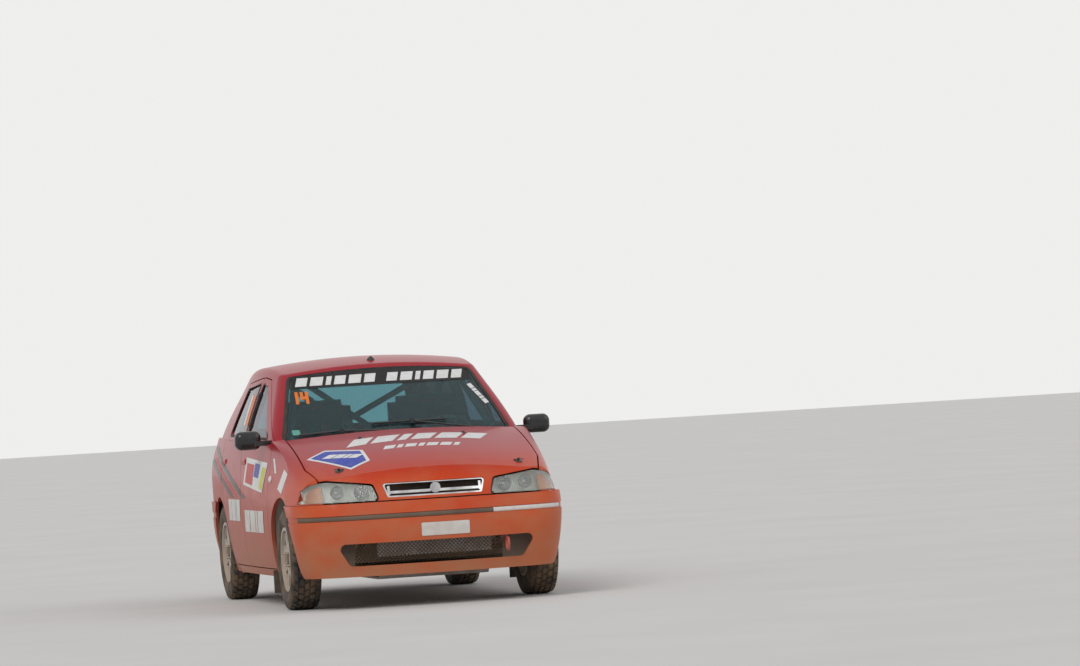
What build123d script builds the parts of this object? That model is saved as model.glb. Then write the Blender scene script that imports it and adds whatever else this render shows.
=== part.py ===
from build123d import *
import math
import os

# A small five-door hatchback prepared for gravel rallies.
# Millimetres. +X forward, +Y to the car's left, +Z up, ground at z = 0, origin mid-length.
os.makedirs("parts", exist_ok=True)

# Overall size
LENGTH = 3827
HALF_LENGTH = LENGTH / 2
HALF_WIDTH = 817
FRONT_AXLE_X = 1170
REAR_AXLE_X = -1203
HALF_TRACK = 694
WHEEL_Z = 293

# Wheels and tyres
TYRE_R = 293
TYRE_WIDTH = 178
RIM_R = 186
FRONT_ARCH_R = 358
REAR_ARCH_R = 342

# Panels
BUMPER_OUTSET = 12
SHUT_GAP = 6
FLANGE_GAP = 7
BONNET_GAP = 8
SKIN = 22
DOOR_SKIN = 28
DOOR_FRAME = 20
DOOR_DEPTH = 80
WALL = 90
PILLAR_WALL = 48
ROOF_SKIN = 28
GLASS_IN = 7
GLASS_T = 5

# The belt line rises towards the tail
BELT_FRONT_X, BELT_FRONT_Z = 800, 952
BELT_SLOPE = 1.15

# Door edges are cut along a line that leans forward going inboard, so that they clear as they swing
LEAN = 0.15
SIDE_Y = 820

# Steering: the line that the front wheels turn about, and its limit either way
BALL_JOINT_Y, BALL_JOINT_Z = 628, 205
STRUT_TOP_Y, STRUT_TOP_Z = 556, 742


def belt_z(x):
    return BELT_FRONT_Z + (BELT_FRONT_X - x) * math.tan(math.radians(BELT_SLOPE))


def skin_y(z):
    """Half width of the outer skin amidships at height z."""
    points = [(0, 800), (600, 817), (960, 780), (1400, 606), (1600, 520)]
    for (z0, y0), (z1, y1) in zip(points, points[1:]):
        if z <= z1:
            return y0 + (y1 - y0) * (z - z0) / (z1 - z0)


def on_skin(x, z):
    """Where a point of the outer skin lies in the leaning side view."""
    return (x - LEAN * (SIDE_Y - skin_y(z)), z)


# Plan outlines of the lower body, from the sill upwards. Columns: height, nose x, nose sweep, nose half width,
# middle half width, tail x, tail sweep, tail half width, nose corner radius, tail corner radius
LOWER_BODY = [
    (185, 1832, 150, 700, 768, -1832, 105, 705, 250, 200),
    (330, 1884, 160, 745, 797, -1884, 112, 745, 300, 225),
    (480, 1901.5, 165, 765, 812, -1901.5, 116, 762, 320, 235),
    (600, 1880, 168, 765, 817, -1876, 114, 770, 330, 240),
    (740, 1822, 168, 737, 812, -1832, 110, 778, 330, 225),
    (900, 1700, 160, 702, 796, -1786, 104, 757, 320, 215),
    (1060, 1560, 145, 660, 772, -1740, 98, 716, 290, 210),
]

# Plan outlines of the cabin, with the same columns
CABIN = [
    (870, 990, 167, 742, 796, -1800, 118, 736, 110, 170),
    (1040, 738, 133, 710, 750, -1686, 105, 690, 102, 155),
    (1220, 458, 98, 642, 682, -1554, 88, 602, 92, 140),
    (1400, 160, 62, 568, 606, -1405, 74, 506, 80, 120),
    (1500, -10, 48, 532, 566, -1318, 62, 462, 70, 110),
]

# Cross sections of the bonnet and wings. Columns: x, middle height, edge height, edge half width, foot half width,
# shoulder radius
BONNET = [
    (560, 1056, 992, 784, 905, 50),
    (850, 1016, 958, 776, 905, 60),
    (1150, 968, 894, 747, 900, 90),
    (1500, 890, 794, 714, 890, 125),
    (1780, 795, 690, 668, 865, 140),
    (1960, 700, 598, 620, 835, 140),
]
FOOT_Z = 150

# Cross sections of the roof. Columns: x, middle height, height at ROOF_SPAN from the middle
ROOF_SPAN = 850
ROOF_EDGE_R = 50
ROOF = [
    (1100, 1180, 1090),
    (420, 1338, 1250),
    (165, 1398, 1308),
    (-350, 1451, 1363),
    (-950, 1424, 1336),
    (-1400, 1352, 1264),
    (-1950, 1205, 1117),
]


def plan_loft(rows, inset):
    """A solid through plan outlines, drawn in by inset all round."""
    with BuildPart() as body:
        for z, nose, sweep, nose_w, mid_w, tail, tail_sweep, tail_w, nose_r, tail_r in rows:
            front = (nose - sweep - inset, nose_w - inset)
            back = (tail + tail_sweep + inset, tail_w - inset)
            middle = ((front[0] + back[0]) / 2, mid_w - inset)
            with BuildSketch(Plane.XY.offset(z)) as outline:
                with BuildLine():
                    ThreePointArc((front[0], -front[1]), (nose - inset, 0), front)
                    ThreePointArc(front, middle, back)
                    ThreePointArc(back, (tail + inset, 0), (back[0], -back[1]))
                    ThreePointArc((back[0], -back[1]), (middle[0], -middle[1]), (front[0], -front[1]))
                make_face()
                fillet(outline.vertices().group_by(Axis.X)[-1], nose_r - inset)
                fillet(outline.vertices().group_by(Axis.X)[0], tail_r - inset)
        loft()
    return body.part


def bonnet_loft(inset):
    """A solid under the bonnet's and wings' top surface, lowered and narrowed by inset."""
    with BuildPart() as body:
        for x, top, edge_z, edge_w, foot_w, radius in BONNET:
            edge = (edge_w - inset, edge_z - inset)
            foot = (foot_w - inset, FOOT_Z)
            with BuildSketch(Plane(origin=(x, 0, 0), x_dir=(0, 1, 0), z_dir=(1, 0, 0))):
                with BuildLine():
                    ThreePointArc((-edge[0], edge[1]), (0, top - inset), edge)
                    Polyline(edge, foot, (-foot[0], foot[1]), (-edge[0], edge[1]))
                face = make_face()
                fillet(face.vertices().group_by(Axis.Z)[-1], max(radius - inset, 4))
        loft()
    return body.part


def roof_loft(inset):
    """A solid under the roof's surface, lowered by inset."""
    with BuildPart() as body:
        for x, top, edge_z in ROOF:
            with BuildSketch(Plane(origin=(x, 0, 0), x_dir=(0, 1, 0), z_dir=(1, 0, 0))):
                with BuildLine():
                    ThreePointArc((-ROOF_SPAN, edge_z - inset), (0, top - inset), (ROOF_SPAN, edge_z - inset))
                    Polyline((ROOF_SPAN, edge_z - inset), (ROOF_SPAN, 840), (-ROOF_SPAN, 840),
                             (-ROOF_SPAN, edge_z - inset))
                make_face()
        loft()
    return body.part


# Planes for outlines drawn from the side, from ahead and from above
SIDE = Plane(origin=(0, SIDE_Y, 0), x_dir=(1, 0, 0), z_dir=(0, -1, 0))
AHEAD = Plane(origin=(0, 0, 0), x_dir=(0, 1, 0), z_dir=(1, 0, 0))
BELT = Plane(origin=(BELT_FRONT_X, 0, BELT_FRONT_Z),
             x_dir=(math.cos(math.radians(BELT_SLOPE)), 0, -math.sin(math.radians(BELT_SLOPE))),
             z_dir=(math.sin(math.radians(BELT_SLOPE)), 0, math.cos(math.radians(BELT_SLOPE))))


def lower(inset):
    """The lower body below the belt line, drawn in by inset."""
    with BuildPart() as body:
        add(plan_loft(LOWER_BODY, inset))
        split(bisect_by=BELT, keep=Keep.BOTTOM)
    return body.part


def nose(inset):
    """The lower body under the bonnet's surface, drawn in by inset."""
    with BuildPart() as body:
        add(plan_loft(LOWER_BODY, inset))
        add(bonnet_loft(inset), mode=Mode.INTERSECT)
    return body.part


def cabin(inset, roof_edge=0):
    """The cabin above the belt line, drawn in by inset, with its roof's edge rounded."""
    with BuildPart() as body:
        add(plan_loft(CABIN, inset))
        add(roof_loft(inset), mode=Mode.INTERSECT)
        if roof_edge:
            fillet([e for e in body.edges() if e.center().Z > 1300 and e.length > 50], roof_edge)
        split(bisect_by=BELT, keep=Keep.TOP)
    return body.part


def side_tool(points, radius, grow=0, depth=600):
    """A cutter drawn from the left side, which leans forward as it goes inboard."""
    with BuildPart() as tool:
        with BuildSketch(SIDE) as outline:
            with BuildLine():
                Polyline([on_skin(x, z) for x, z in points], close=True)
            make_face()
            fillet(outline.vertices(), radius)
            if grow:
                offset(amount=grow, kind=Kind.INTERSECTION)
        extrude(amount=depth * math.hypot(1, LEAN), dir=(LEAN, -1, 0))
    return tool.part


def ahead_tool(points, radius, x0, x1, grow=0):
    """A cutter drawn from ahead, between two places along the car."""
    with BuildPart() as tool:
        with BuildSketch(AHEAD.offset(x0)) as outline:
            with BuildLine():
                Polyline(points, close=True)
            make_face()
            if radius:
                fillet(outline.vertices(), radius)
            if grow:
                offset(amount=grow, kind=Kind.INTERSECTION)
        extrude(amount=x1 - x0)
    return tool.part


def both_sides(points):
    """An outline drawn for the left, closed with its mirror image on the right."""
    return points + [(-y, z) for y, z in reversed(points)]


def block(x0, x1, y0, y1, z0, z1):
    with BuildPart() as body:
        with Locations(((x0 + x1) / 2, (y0 + y1) / 2, (z0 + z1) / 2)):
            Box(x1 - x0, y1 - y0, z1 - z0)
    return body.part


def cross_tube(x, z, radius, y0, y1):
    """A round bar across the car."""
    with BuildPart() as body:
        with Locations(Location((x, (y0 + y1) / 2, z), (90, 0, 0))):
            Cylinder(radius, abs(y1 - y0))
    return body.part


def bar(start, end, radius):
    """A round bar between two points."""
    along = Vector(*end) - Vector(*start)
    with BuildPart() as rod:
        with BuildSketch(Plane(origin=start, z_dir=along)):
            Circle(radius)
        extrude(amount=along.length)
    return rod.part


def tube(points, bend, radius):
    """A round tube along straight runs joined by bends."""
    with BuildPart() as pipe:
        with BuildLine() as path:
            FilletPolyline(points, radius=bend)
        with BuildSketch(Plane(origin=path.line @ 0, z_dir=path.line % 0)):
            Circle(radius)
        sweep(path=path.line)
    return pipe.part


def slab(points, z0, z1, radius=0):
    """A flat plate drawn from above."""
    with BuildPart() as body:
        with BuildSketch(Plane.XY.offset(z0)) as outline:
            with BuildLine():
                Polyline(points, close=True)
            make_face()
            if radius:
                fillet(outline.vertices(), radius)
        extrude(amount=z1 - z0)
    return body.part


def profile(points, y0, y1, radius=0):
    """A shape drawn from the side, between two places across the car."""
    with BuildPart() as body:
        with BuildSketch(Plane(origin=(0, y1, 0), x_dir=(1, 0, 0), z_dir=(0, -1, 0))) as outline:
            with BuildLine():
                Polyline(points, close=True)
            make_face()
            if radius:
                fillet(outline.vertices(), radius)
        extrude(amount=y1 - y0)
    return body.part


def joined(*pieces):
    with BuildPart() as body:
        for piece in pieces:
            add(piece)
    return body.part


def common(*pieces):
    with BuildPart() as body:
        add(pieces[0])
        for piece in pieces[1:]:
            add(piece, mode=Mode.INTERSECT)
    return body.part


def less(piece, *cuts):
    with BuildPart() as body:
        add(piece)
        for cut in cuts:
            add(cut, mode=Mode.SUBTRACT)
    return body.part


def mirrored(piece):
    return mirror(piece, about=Plane.XZ)


def with_mirror(piece):
    return joined(piece, mirrored(piece))


def keep(piece, name):
    """Names a finished piece and writes it."""
    piece.label = name
    export_step(piece, f"parts/{name}.step")


def keep_pair(piece, name):
    """Writes a piece of the left side, and its mirror image for the right."""
    keep(mirrored(piece), name + "_right")
    keep(piece, name + "_left")


# The nested surfaces that the panels are cut from
lower_0, lower_door, lower_inner = [lower(i) for i in (0, DOOR_SKIN, WALL)]
lower_flange = split(lower(DOOR_SKIN + FLANGE_GAP), bisect_by=BELT.offset(-FLANGE_GAP), keep=Keep.BOTTOM)
cabin_0 = cabin(0, ROOF_EDGE_R)
cabin_frame, cabin_flange, cabin_inner = [cabin(i) for i in (DOOR_FRAME, DOOR_FRAME + 6, PILLAR_WALL)]
glass_layer = less(cabin(GLASS_IN), cabin(GLASS_IN + GLASS_T))
nose_0, nose_skin, nose_inner = [nose(i) for i in (0, SKIN, SKIN + 4)]
around_cabin = plan_loft(CABIN, -SHUT_GAP)
bumper_layer = less(lower(-BUMPER_OUTSET), lower(8))

# Door outlines from the side, from the lower front corner round. The rear doors clear the wheel arch
FRONT_DOOR = [(782, 232), (782, 924), (718, 939), (10, 1334), (-188, 1350), (-165, 935), (-165, 232)]
REAR_DOOR = [(-171, 232), (-171, 935), (-194, 1348), (-706, 1318), (-966, 962), (-988, 918), (-988, 232)]
FRONT_WINDOW = [(505, 988), (-4, 1298), (-150, 1316), (-135, 1000)]
REAR_WINDOW = [(-206, 1002), (-228, 1316), (-682, 1288), (-892, 1014)]
FLANGE = 42
DOOR_INNER = 52
DOOR_ARCH_R = REAR_ARCH_R + 52


def rear_arch(radius):
    return cross_tube(REAR_AXLE_X, WHEEL_Z, radius, 300, 900)


def door(outline, window, arch):
    """A whole door: a skin that overlaps the frame, a thick lower body inside it, and a window frame."""
    core = less(side_tool(outline, 12, -DOOR_INNER), *([rear_arch(DOOR_ARCH_R + DOOR_INNER)] if arch else []))
    panel = less(common(less(lower_0, lower(DOOR_DEPTH)), side_tool(outline, 12)), less(lower_door, core))
    frame = common(less(cabin_0, cabin_frame), side_tool(outline, 12))
    cuts = [side_tool(window, 26)]
    if arch:
        cuts.append(rear_arch(DOOR_ARCH_R))
    return less(joined(panel, frame), *cuts)


def door_opening(outline, arch):
    """What a door's skin and its body need cut from the side of the car."""
    around = less(side_tool(outline, 12, SHUT_GAP), lower_flange, cabin_flange)
    through = side_tool(outline, 12, -FLANGE)
    if arch:
        return [less(around, rear_arch(DOOR_ARCH_R - SHUT_GAP)), less(through, rear_arch(DOOR_ARCH_R + FLANGE))]
    return [around, through]


def handle(x):
    """A door handle that stands on the outer skin."""
    with BuildPart() as grip:
        with Locations((x, skin_y(HANDLE_Z), HANDLE_Z)):
            Box(*HANDLE_SIZE)
        fillet(grip.edges(), 9)
    return grip.part


HANDLE_Z = 856
HANDLE_SIZE = (150, 34, 34)
keep_pair(joined(door(FRONT_DOOR, FRONT_WINDOW, False), handle(-62)), "door_front")
keep_pair(joined(door(REAR_DOOR, REAR_WINDOW, True), handle(-862)), "door_rear")
keep_pair(common(glass_layer, side_tool(FRONT_WINDOW, 26)), "door_glass_front")
keep_pair(common(glass_layer, side_tool(REAR_WINDOW, 26)), "door_glass_rear")

# Openings at the ends, from ahead, drawn for the left. Columns: across, up
WINDSCREEN_FOOT, WINDSCREEN_HEAD, WINDSCREEN_CROWN = (700, 855), (545, 1345), (0, 1374)
TAILGATE = [(588, 618), (594, 935), (588, 1005), (486, 1330), (478, 1450)]
TAILGATE_WINDOW = [(535, 1030), (432, 1312)]
ROOF_SPLIT_Y = 484
TAILGATE_X = -1388
TAILGATE_T = 50
TAIL_LAMP = [(626, 634), (860, 634), (860, 910), (770, 950), (626, 950)]
TAIL_LAMP_X = -1668
HEADLAMP = [(324, 611), (352, 700), (604, 732), (692, 718), (750, 668), (766, 611)]
HEADLAMP_X = 1565
HEADLAMP_DEPTH = 110
BUMPER_TOP = 604
REAR_BUMPER_X = -1345
FRONT_BUMPER_X = 1300

with BuildPart() as windscreen_cut:
    with BuildSketch(AHEAD.offset(50)) as outline:
        with BuildLine():
            head = (-WINDSCREEN_HEAD[0], WINDSCREEN_HEAD[1])
            foot = (-WINDSCREEN_FOOT[0], WINDSCREEN_FOOT[1])
            ThreePointArc(head, WINDSCREEN_CROWN, WINDSCREEN_HEAD)
            Polyline(WINDSCREEN_HEAD, WINDSCREEN_FOOT, foot, head)
        make_face()
        fillet(outline.vertices().group_by(Axis.Z)[-1], 45)
    extrude(amount=1040)

tailgate_cut = ahead_tool(both_sides(TAILGATE), 0, -2000, TAILGATE_X, SHUT_GAP)
tailgate_through = ahead_tool(both_sides(TAILGATE), 0, -2000, TAILGATE_X + 60, -28)
lower_tail = lower(TAILGATE_T)
lower_tail_flange = split(lower(TAILGATE_T + FLANGE_GAP), bisect_by=BELT.offset(-FLANGE_GAP), keep=Keep.BOTTOM)
roof_cut = block(-1500, 400, -ROOF_SPLIT_Y, ROOF_SPLIT_Y, 1230, 1500)
tail_lamp_cut = ahead_tool(TAIL_LAMP, 20, -2000, TAIL_LAMP_X)
headlamp_cut = ahead_tool(HEADLAMP, 18, HEADLAMP_X, 2000)
below_tail = block(-2000, REAR_BUMPER_X, -900, 900, 100, BUMPER_TOP + 2)
front_arch = cross_tube(FRONT_AXLE_X, WHEEL_Z, FRONT_ARCH_R, 300, 900)

# The sides of the car: sill, pillars, roof rail and rear quarter in one
JACK_PADS_X = (620, -740)
side_shell = joined(common(less(lower_0, lower_inner), block(-2000, 782, 300, 900, 100, 1100)),
                    common(less(cabin_0, cabin_inner), block(-2000, 900, 300, 900, 800, 1500)))
side_shell = less(side_shell, *door_opening(FRONT_DOOR, False), *door_opening(REAR_DOOR, True),
                  windscreen_cut.part, less(tailgate_cut, lower_tail_flange, cabin_flange), tailgate_through,
                  roof_cut, tail_lamp_cut, below_tail, rear_arch(REAR_ARCH_R),
                  block(-2000, -1600, 200, 606, 500, 634))
jack_pads = [block(x - 40, x + 40, 700, 745, 175, 186) for x in JACK_PADS_X]
keep_pair(joined(side_shell, *jack_pads), "body_side")

# Roof and glass
roof = common(less(cabin_0, cabin(ROOF_SKIN)),
              block(TAILGATE_X + SHUT_GAP, 400, -ROOF_SPLIT_Y, ROOF_SPLIT_Y, 1230, 1500))
keep(less(roof, windscreen_cut.part), "roof_panel")
windscreen = common(glass_layer, windscreen_cut.part)
keep(windscreen, "windscreen")

# Tailgate
tailgate_shape = ahead_tool(both_sides(TAILGATE), 0, -2000, TAILGATE_X)
tailgate_window = ahead_tool(both_sides(TAILGATE_WINDOW), 40, -2000, TAILGATE_X + 40)
tailgate = joined(common(less(lower_0, lower_tail), tailgate_shape), common(less(cabin_0, cabin_frame), tailgate_shape))
keep(less(tailgate, tailgate_window), "tailgate")
keep(common(glass_layer, tailgate_window), "tailgate_glass")
keep(with_mirror(common(less(lower_0, lower(60)), tail_lamp_cut)), "tail_lamps")

# Bonnet, from above
BONNET_REAR = [(838, 676), (935, 0)]
BONNET_SIDE = [(1480, 676), (1990, 574)]
BONNET_SKIN = 25
GRILLE = [(-272, 626), (272, 626), (298, 708), (-298, 708)]
GRILLE_HOLE = [(-262, 634), (262, 634), (286, 700), (-286, 700)]
LIP_Z = 611


def bonnet_tool(grow):
    with BuildPart() as tool:
        with BuildSketch(Plane.XY.offset(500)):
            with BuildLine():
                corner = BONNET_REAR[0]
                ThreePointArc((corner[0], -corner[1]), BONNET_REAR[1], corner)
                Polyline(corner, *BONNET_SIDE, *[(x, -y) for x, y in reversed(BONNET_SIDE)], (corner[0], -corner[1]))
            make_face()
            if grow:
                offset(amount=grow, kind=Kind.INTERSECTION)
        extrude(amount=600)
    return tool.part


lamp_gap = joined(ahead_tool(HEADLAMP, 18, HEADLAMP_X - 40, 2000, BONNET_GAP),
                  block(HEADLAMP_X - 40, 2000, 330, 900, 560, 660))
bonnet = common(less(nose_0, nose(BONNET_SKIN)), bonnet_tool(0), block(700, 2000, -700, 700, LIP_Z, 1100))
grille_cut = ahead_tool(GRILLE, 14, 1600, 2000)
bonnet = less(bonnet, lamp_gap, mirrored(lamp_gap), grille_cut, around_cabin)
keep(bonnet, "bonnet")
grille_layer = less(nose(4), nose(20))
grille_frame = less(common(grille_layer, grille_cut), ahead_tool(GRILLE_HOLE, 10, 1600, 2000))
grille_bar = common(grille_layer, block(1600, 2000, -268, 268, 646, 661))
grille_posts = with_mirror(common(grille_layer, block(1600, 2000, 256, 270, 640, 690)))
grille_boss = bar((1816, 0, 668), (1868, 0, 668), 30)
keep(joined(grille_frame, grille_bar, grille_posts, grille_boss), "grille")

# Front wings, headlamps and bumpers
wing = common(less(nose_0, nose_skin), block(788, 2000, 330, 900, 185, 1100))
wing = less(wing, bonnet_tool(BONNET_GAP), headlamp_cut, around_cabin, front_arch, side_tool(FRONT_DOOR, 12, SHUT_GAP),
            block(700, 960, 300, 684, 700, 1100),
            block(FRONT_BUMPER_X, 2000, 300, 900, 100, BUMPER_TOP + 2))
keep(with_mirror(wing), "front_wings")
keep(with_mirror(common(less(nose_0, nose(HEADLAMP_DEPTH)), headlamp_cut)), "headlamps")

INTAKE = [(-500, 246), (500, 246), (580, 374), (-580, 374)]
RUB_STRIP_Z = (505, 537)
RUB_STRIP_DEPTH = 5
strip_groove = less(block(-2000, 2000, -950, 950, *RUB_STRIP_Z), lower(RUB_STRIP_DEPTH - BUMPER_OUTSET))
front_bumper = common(bumper_layer, block(FRONT_BUMPER_X, 2000, -900, 900, 185, BUMPER_TOP))
front_bumper = less(front_bumper, front_arch, mirrored(front_arch), ahead_tool(INTAKE, 30, 1500, 2000),
                    strip_groove)
keep(front_bumper, "front_bumper")
rear_bumper = common(bumper_layer, block(-2000, REAR_BUMPER_X, -900, 900, 235, BUMPER_TOP))
keep(less(rear_bumper, rear_arch(REAR_ARCH_R), mirrored(rear_arch(REAR_ARCH_R)), strip_groove), "rear_bumper")

# Cowl between the bonnet and the windscreen, lower than both
COWL_DROP = 28
cowl = common(less(nose(COWL_DROP), nose(COWL_DROP + 18)), block(690, 1000, -664, 664, 800, 1060))
cowl_ends = block(600, 788, 640, 700, 800, 1060)
keep(less(cowl, bonnet_tool(SHUT_GAP), cabin_0, cowl_ends, mirrored(cowl_ends)), "cowl_panel")

# Floor, tunnel, rear wheel tubs, firewall and rear panel
FLOOR_Z, FLOOR_T = 196, 12
BOOT_FLOOR_Z = 420
KICK_UP_X = -560
TUB_Y = 505
TOWER_Z = 788
inside = lower_inner
floor = common(block(-2000, 782, -900, 900, 190, 700), inside)
floor_shape = profile([(782, FLOOR_Z), (782, FLOOR_Z + FLOOR_T), (KICK_UP_X, FLOOR_Z + FLOOR_T),
                       (KICK_UP_X - 80, BOOT_FLOOR_Z + FLOOR_T), (-1860, BOOT_FLOOR_Z + FLOOR_T),
                       (-1860, BOOT_FLOOR_Z), (KICK_UP_X - 88, BOOT_FLOOR_Z), (KICK_UP_X - 8, FLOOR_Z)], -900, 900)
tunnel = less(block(KICK_UP_X, 770, -110, 110, FLOOR_Z, 330), block(KICK_UP_X - 9, 771, -98, 98, 100, 318))
tub_outer = common(cross_tube(REAR_AXLE_X, WHEEL_Z, REAR_ARCH_R + 10, TUB_Y, 900), inside)
tub_inner = cross_tube(REAR_AXLE_X, WHEEL_Z, REAR_ARCH_R, TUB_Y + 8, 900)
tub_outer = common(tub_outer, block(-2000, 0, 0, 900, FLOOR_Z, 900))
axle_room = block(-1700, KICK_UP_X - 100, TUB_Y - 5, 600, FLOOR_Z - 10, BOOT_FLOOR_Z - 2)
tower = block(-1340, -1240, TUB_Y - 100, TUB_Y + 4, BOOT_FLOOR_Z + 4, TOWER_Z)
floor_pan = joined(common(floor, floor_shape), with_mirror(joined(less(tub_outer, axle_room), tower)))
floor_pan = less(floor_pan, tub_inner, mirrored(tub_inner))
floor_pan = less(floor_pan, block(KICK_UP_X - 60, 771, -98, 98, 100, 318))
firewall = common(block(770, 782, -900, 900, FLOOR_Z, 960), nose(COWL_DROP + 22), inside)
firewall = less(firewall, cabin_0)
rear_panel = common(less(lower(14), lower(28)), block(-2000, -1563, -900, 900, 300, BOOT_FLOOR_Z + 160))
boot_rim = common(lower(16), block(-2000, -1563, -900, 900, BOOT_FLOOR_Z, BOOT_FLOOR_Z + FLOOR_T))
keep(joined(floor_pan, tunnel, firewall, rear_panel, boot_rim), "floor_pan")

# Engine bay: legs, liners over the front wheels, strut mounts, crash beam and slam panel
APRON_Y = 418
STRUT_FOOT = (FRONT_AXLE_X, 575, 395)
STRUT_TOP = (FRONT_AXLE_X, STRUT_TOP_Y, STRUT_TOP_Z)
apron = less(profile([(782, 300), (782, 800), (1330, 764), (1500, 600), (1790, 560), (1790, 430), (1500, 330)],
                     APRON_Y, APRON_Y + 12), cross_tube(FRONT_AXLE_X, WHEEL_Z, 50, 400, 460))
strut_mount = block(1040, 1300, APRON_Y, 680, 752, 764)
liner = less(cross_tube(FRONT_AXLE_X, WHEEL_Z, FRONT_ARCH_R + 12, APRON_Y + 12, 790),
             cross_tube(FRONT_AXLE_X, WHEEL_Z, FRONT_ARCH_R + 7, APRON_Y, 900))
liner = common(liner, nose_inner, block(783, 1600, 0, 900, 230, 800))
liner = less(liner, bar((FRONT_AXLE_X, 572, 560), (FRONT_AXLE_X, 552, 800), 80))
cross_beam = block(1772, 1800, -470, 470, 440, 520)
slam_panel = common(block(1740, 1790, -500, 500, 560, 588), nose_inner)
keep(joined(with_mirror(joined(apron, strut_mount, liner)), cross_beam, slam_panel), "front_structure")
keep(block(1700, 1736, -330, 330, 290, 556), "radiator")

# Engine with its gearbox, and what carries the front wheels
with BuildPart() as engine:
    with Locations((1290, 20, 540)):
        Box(440, 760, 400)
    chamfer(engine.edges().group_by(Axis.Z)[-1], 60)
keep(engine.part, "engine_block")

arm = slab([(1060, 330), (1280, 330), (1186, 640), (1154, 640)], 178, 190, 14)
subframe = block(1060, 1280, -345, 345, 178, 230)
sump_guard = profile([(1000, 160), (1000, 172), (1640, 172), (1770, 240), (1782, 236), (1644, 160)], -320, 320)
keep(sump_guard, "sump_guard")
drive_shaft = bar((FRONT_AXLE_X, 340, WHEEL_Z), (FRONT_AXLE_X, 562, WHEEL_Z), 14)
keep(joined(subframe, with_mirror(joined(arm, drive_shaft))), "front_subframe")

# Uprights that steer: bearing, calliper, strut and steering arm
upright = joined(block(1125, 1215, 602, 640, 200, 400), cross_tube(FRONT_AXLE_X, WHEEL_Z, 48, 600, 645),
                 block(1130, 1210, 556, 606, 345, 400), bar(STRUT_FOOT, STRUT_TOP, 24),
                 bar((FRONT_AXLE_X, 563.3, 610), (FRONT_AXLE_X, 557.4, 720), 60),
                 block(1040, 1130, 606, 622, 262, 282), block(1050, 1130, 626, 642, 268, 318))
calliper = less(block(1018, 1084, 636, 684, 240, 346), cross_tube(FRONT_AXLE_X, WHEEL_Z, 134, 646, 678))
keep_pair(joined(upright, calliper), "knuckle")

# Rear axle, dampers, tank, exhaust
trailing_arm = profile([(-780, 262), (-780, 312), (-1250, 330), (-1250, 256)], 528, 572, 12)
stub = cross_tube(REAR_AXLE_X, WHEEL_Z, 34, 545, 645)
beam = bar((-930, -560, 290), (-930, 560, 290), 30)
damper = joined(bar((-1240, 550, 322), (-1233, 550, 430), 24), bar((-1234, 550, 400), (-1216, 550, 618), 16))
keep(joined(with_mirror(joined(trailing_arm, stub, damper)), beam), "rear_axle")
keep(block(-880, -660, 20, 420, 215, 400), "fuel_tank")
silencer = bar((-1330, -300, 222), (-1640, -300, 222), 62)
pipe = tube([(700, -40, 240), (-580, -40, 240), (-700, -110, 205), (-1250, -300, 205), (-1860, -300, 205)], 60, 26)
keep(joined(silencer, pipe), "exhaust")

# Mud flaps and towing eyes
flap_front = block(782, 787, 610, 790, 90, 224)
flap_rear = block(-1561, -1556, 605, 722, 90, 400)
keep(with_mirror(joined(flap_front, flap_rear)), "mud_flaps")
EYE_R, EYE_BORE_R = 40, 30
FRONT_EYE = (1868, 322)
REAR_EYE = (-1840, 186)
eye_bore = cross_tube(*FRONT_EYE, EYE_BORE_R, 380, 420)
eye = less(cross_tube(*FRONT_EYE, EYE_R, 394, 406), eye_bore)
eye_stem = less(block(1776, 1835, 394, 406, 306, 440), eye_bore)
keep(joined(eye, eye_stem), "tow_eye_front")
rear_eye = less(joined(cross_tube(*REAR_EYE, EYE_R, -436, -424), block(-1806, -1764, -436, -424, 172, 228)),
                cross_tube(*REAR_EYE, EYE_BORE_R, -460, -400))
keep(rear_eye, "tow_eye_rear")

# Wheels: rim, hub and brake disc in one, about the local Y axis with the outer face towards +Y
SPOKES = 8
RIM_HALF = 78
with BuildPart() as wheel:
    with BuildSketch(Plane.XZ.offset(-RIM_HALF)):
        Circle(RIM_R)
    extrude(amount=2 * RIM_HALF)
    with BuildSketch(Plane.XZ.offset(-RIM_HALF)):
        Circle(170)
    extrude(amount=2 * RIM_HALF, mode=Mode.SUBTRACT)
    for radius, y0, y1 in ((172, 40, 62), (62, -43, 64), (128, -42, -22), (75, -22, 41)):
        with BuildSketch(Plane.XZ.offset(-y1)):
            Circle(radius)
        extrude(amount=y1 - y0)
    with BuildSketch(Plane.XZ.offset(-70)):
        with PolarLocations(120, SPOKES):
            Trapezoid(80, 68, 68, rotation=90)
    extrude(amount=30, mode=Mode.SUBTRACT)

# Tyre section. Columns: across, radius
TYRE = [(-72, 186), (-84, 205), (-89, 240), (-84, 275), (-70, 293), (70, 293), (84, 275), (89, 240), (84, 205), (72, 186)]
with BuildPart() as tyre:
    with BuildSketch(Plane.XY):
        with BuildLine():
            Polyline([(radius, y) for y, radius in TYRE], close=True)
        make_face()
    revolve(axis=Axis.Y)

for end, x in (("front", FRONT_AXLE_X), ("rear", REAR_AXLE_X)):
    keep_pair(Pos(x, HALF_TRACK, WHEEL_Z) * wheel.part, f"wheel_{end}")
    keep_pair(Pos(x, HALF_TRACK, WHEEL_Z) * tyre.part, f"tyre_{end}")

# Mirrors on the front doors
MIRROR_AT = (574, 866, 986)
with BuildPart() as door_mirror:
    with Locations(MIRROR_AT):
        Box(96, 154, 110)
    fillet(door_mirror.edges(), 40)
    with Locations((596, 780, 966)):
        Box(54, 110, 30)
keep_pair(less(door_mirror.part, lower_0, cabin_0), "mirror")

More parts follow.
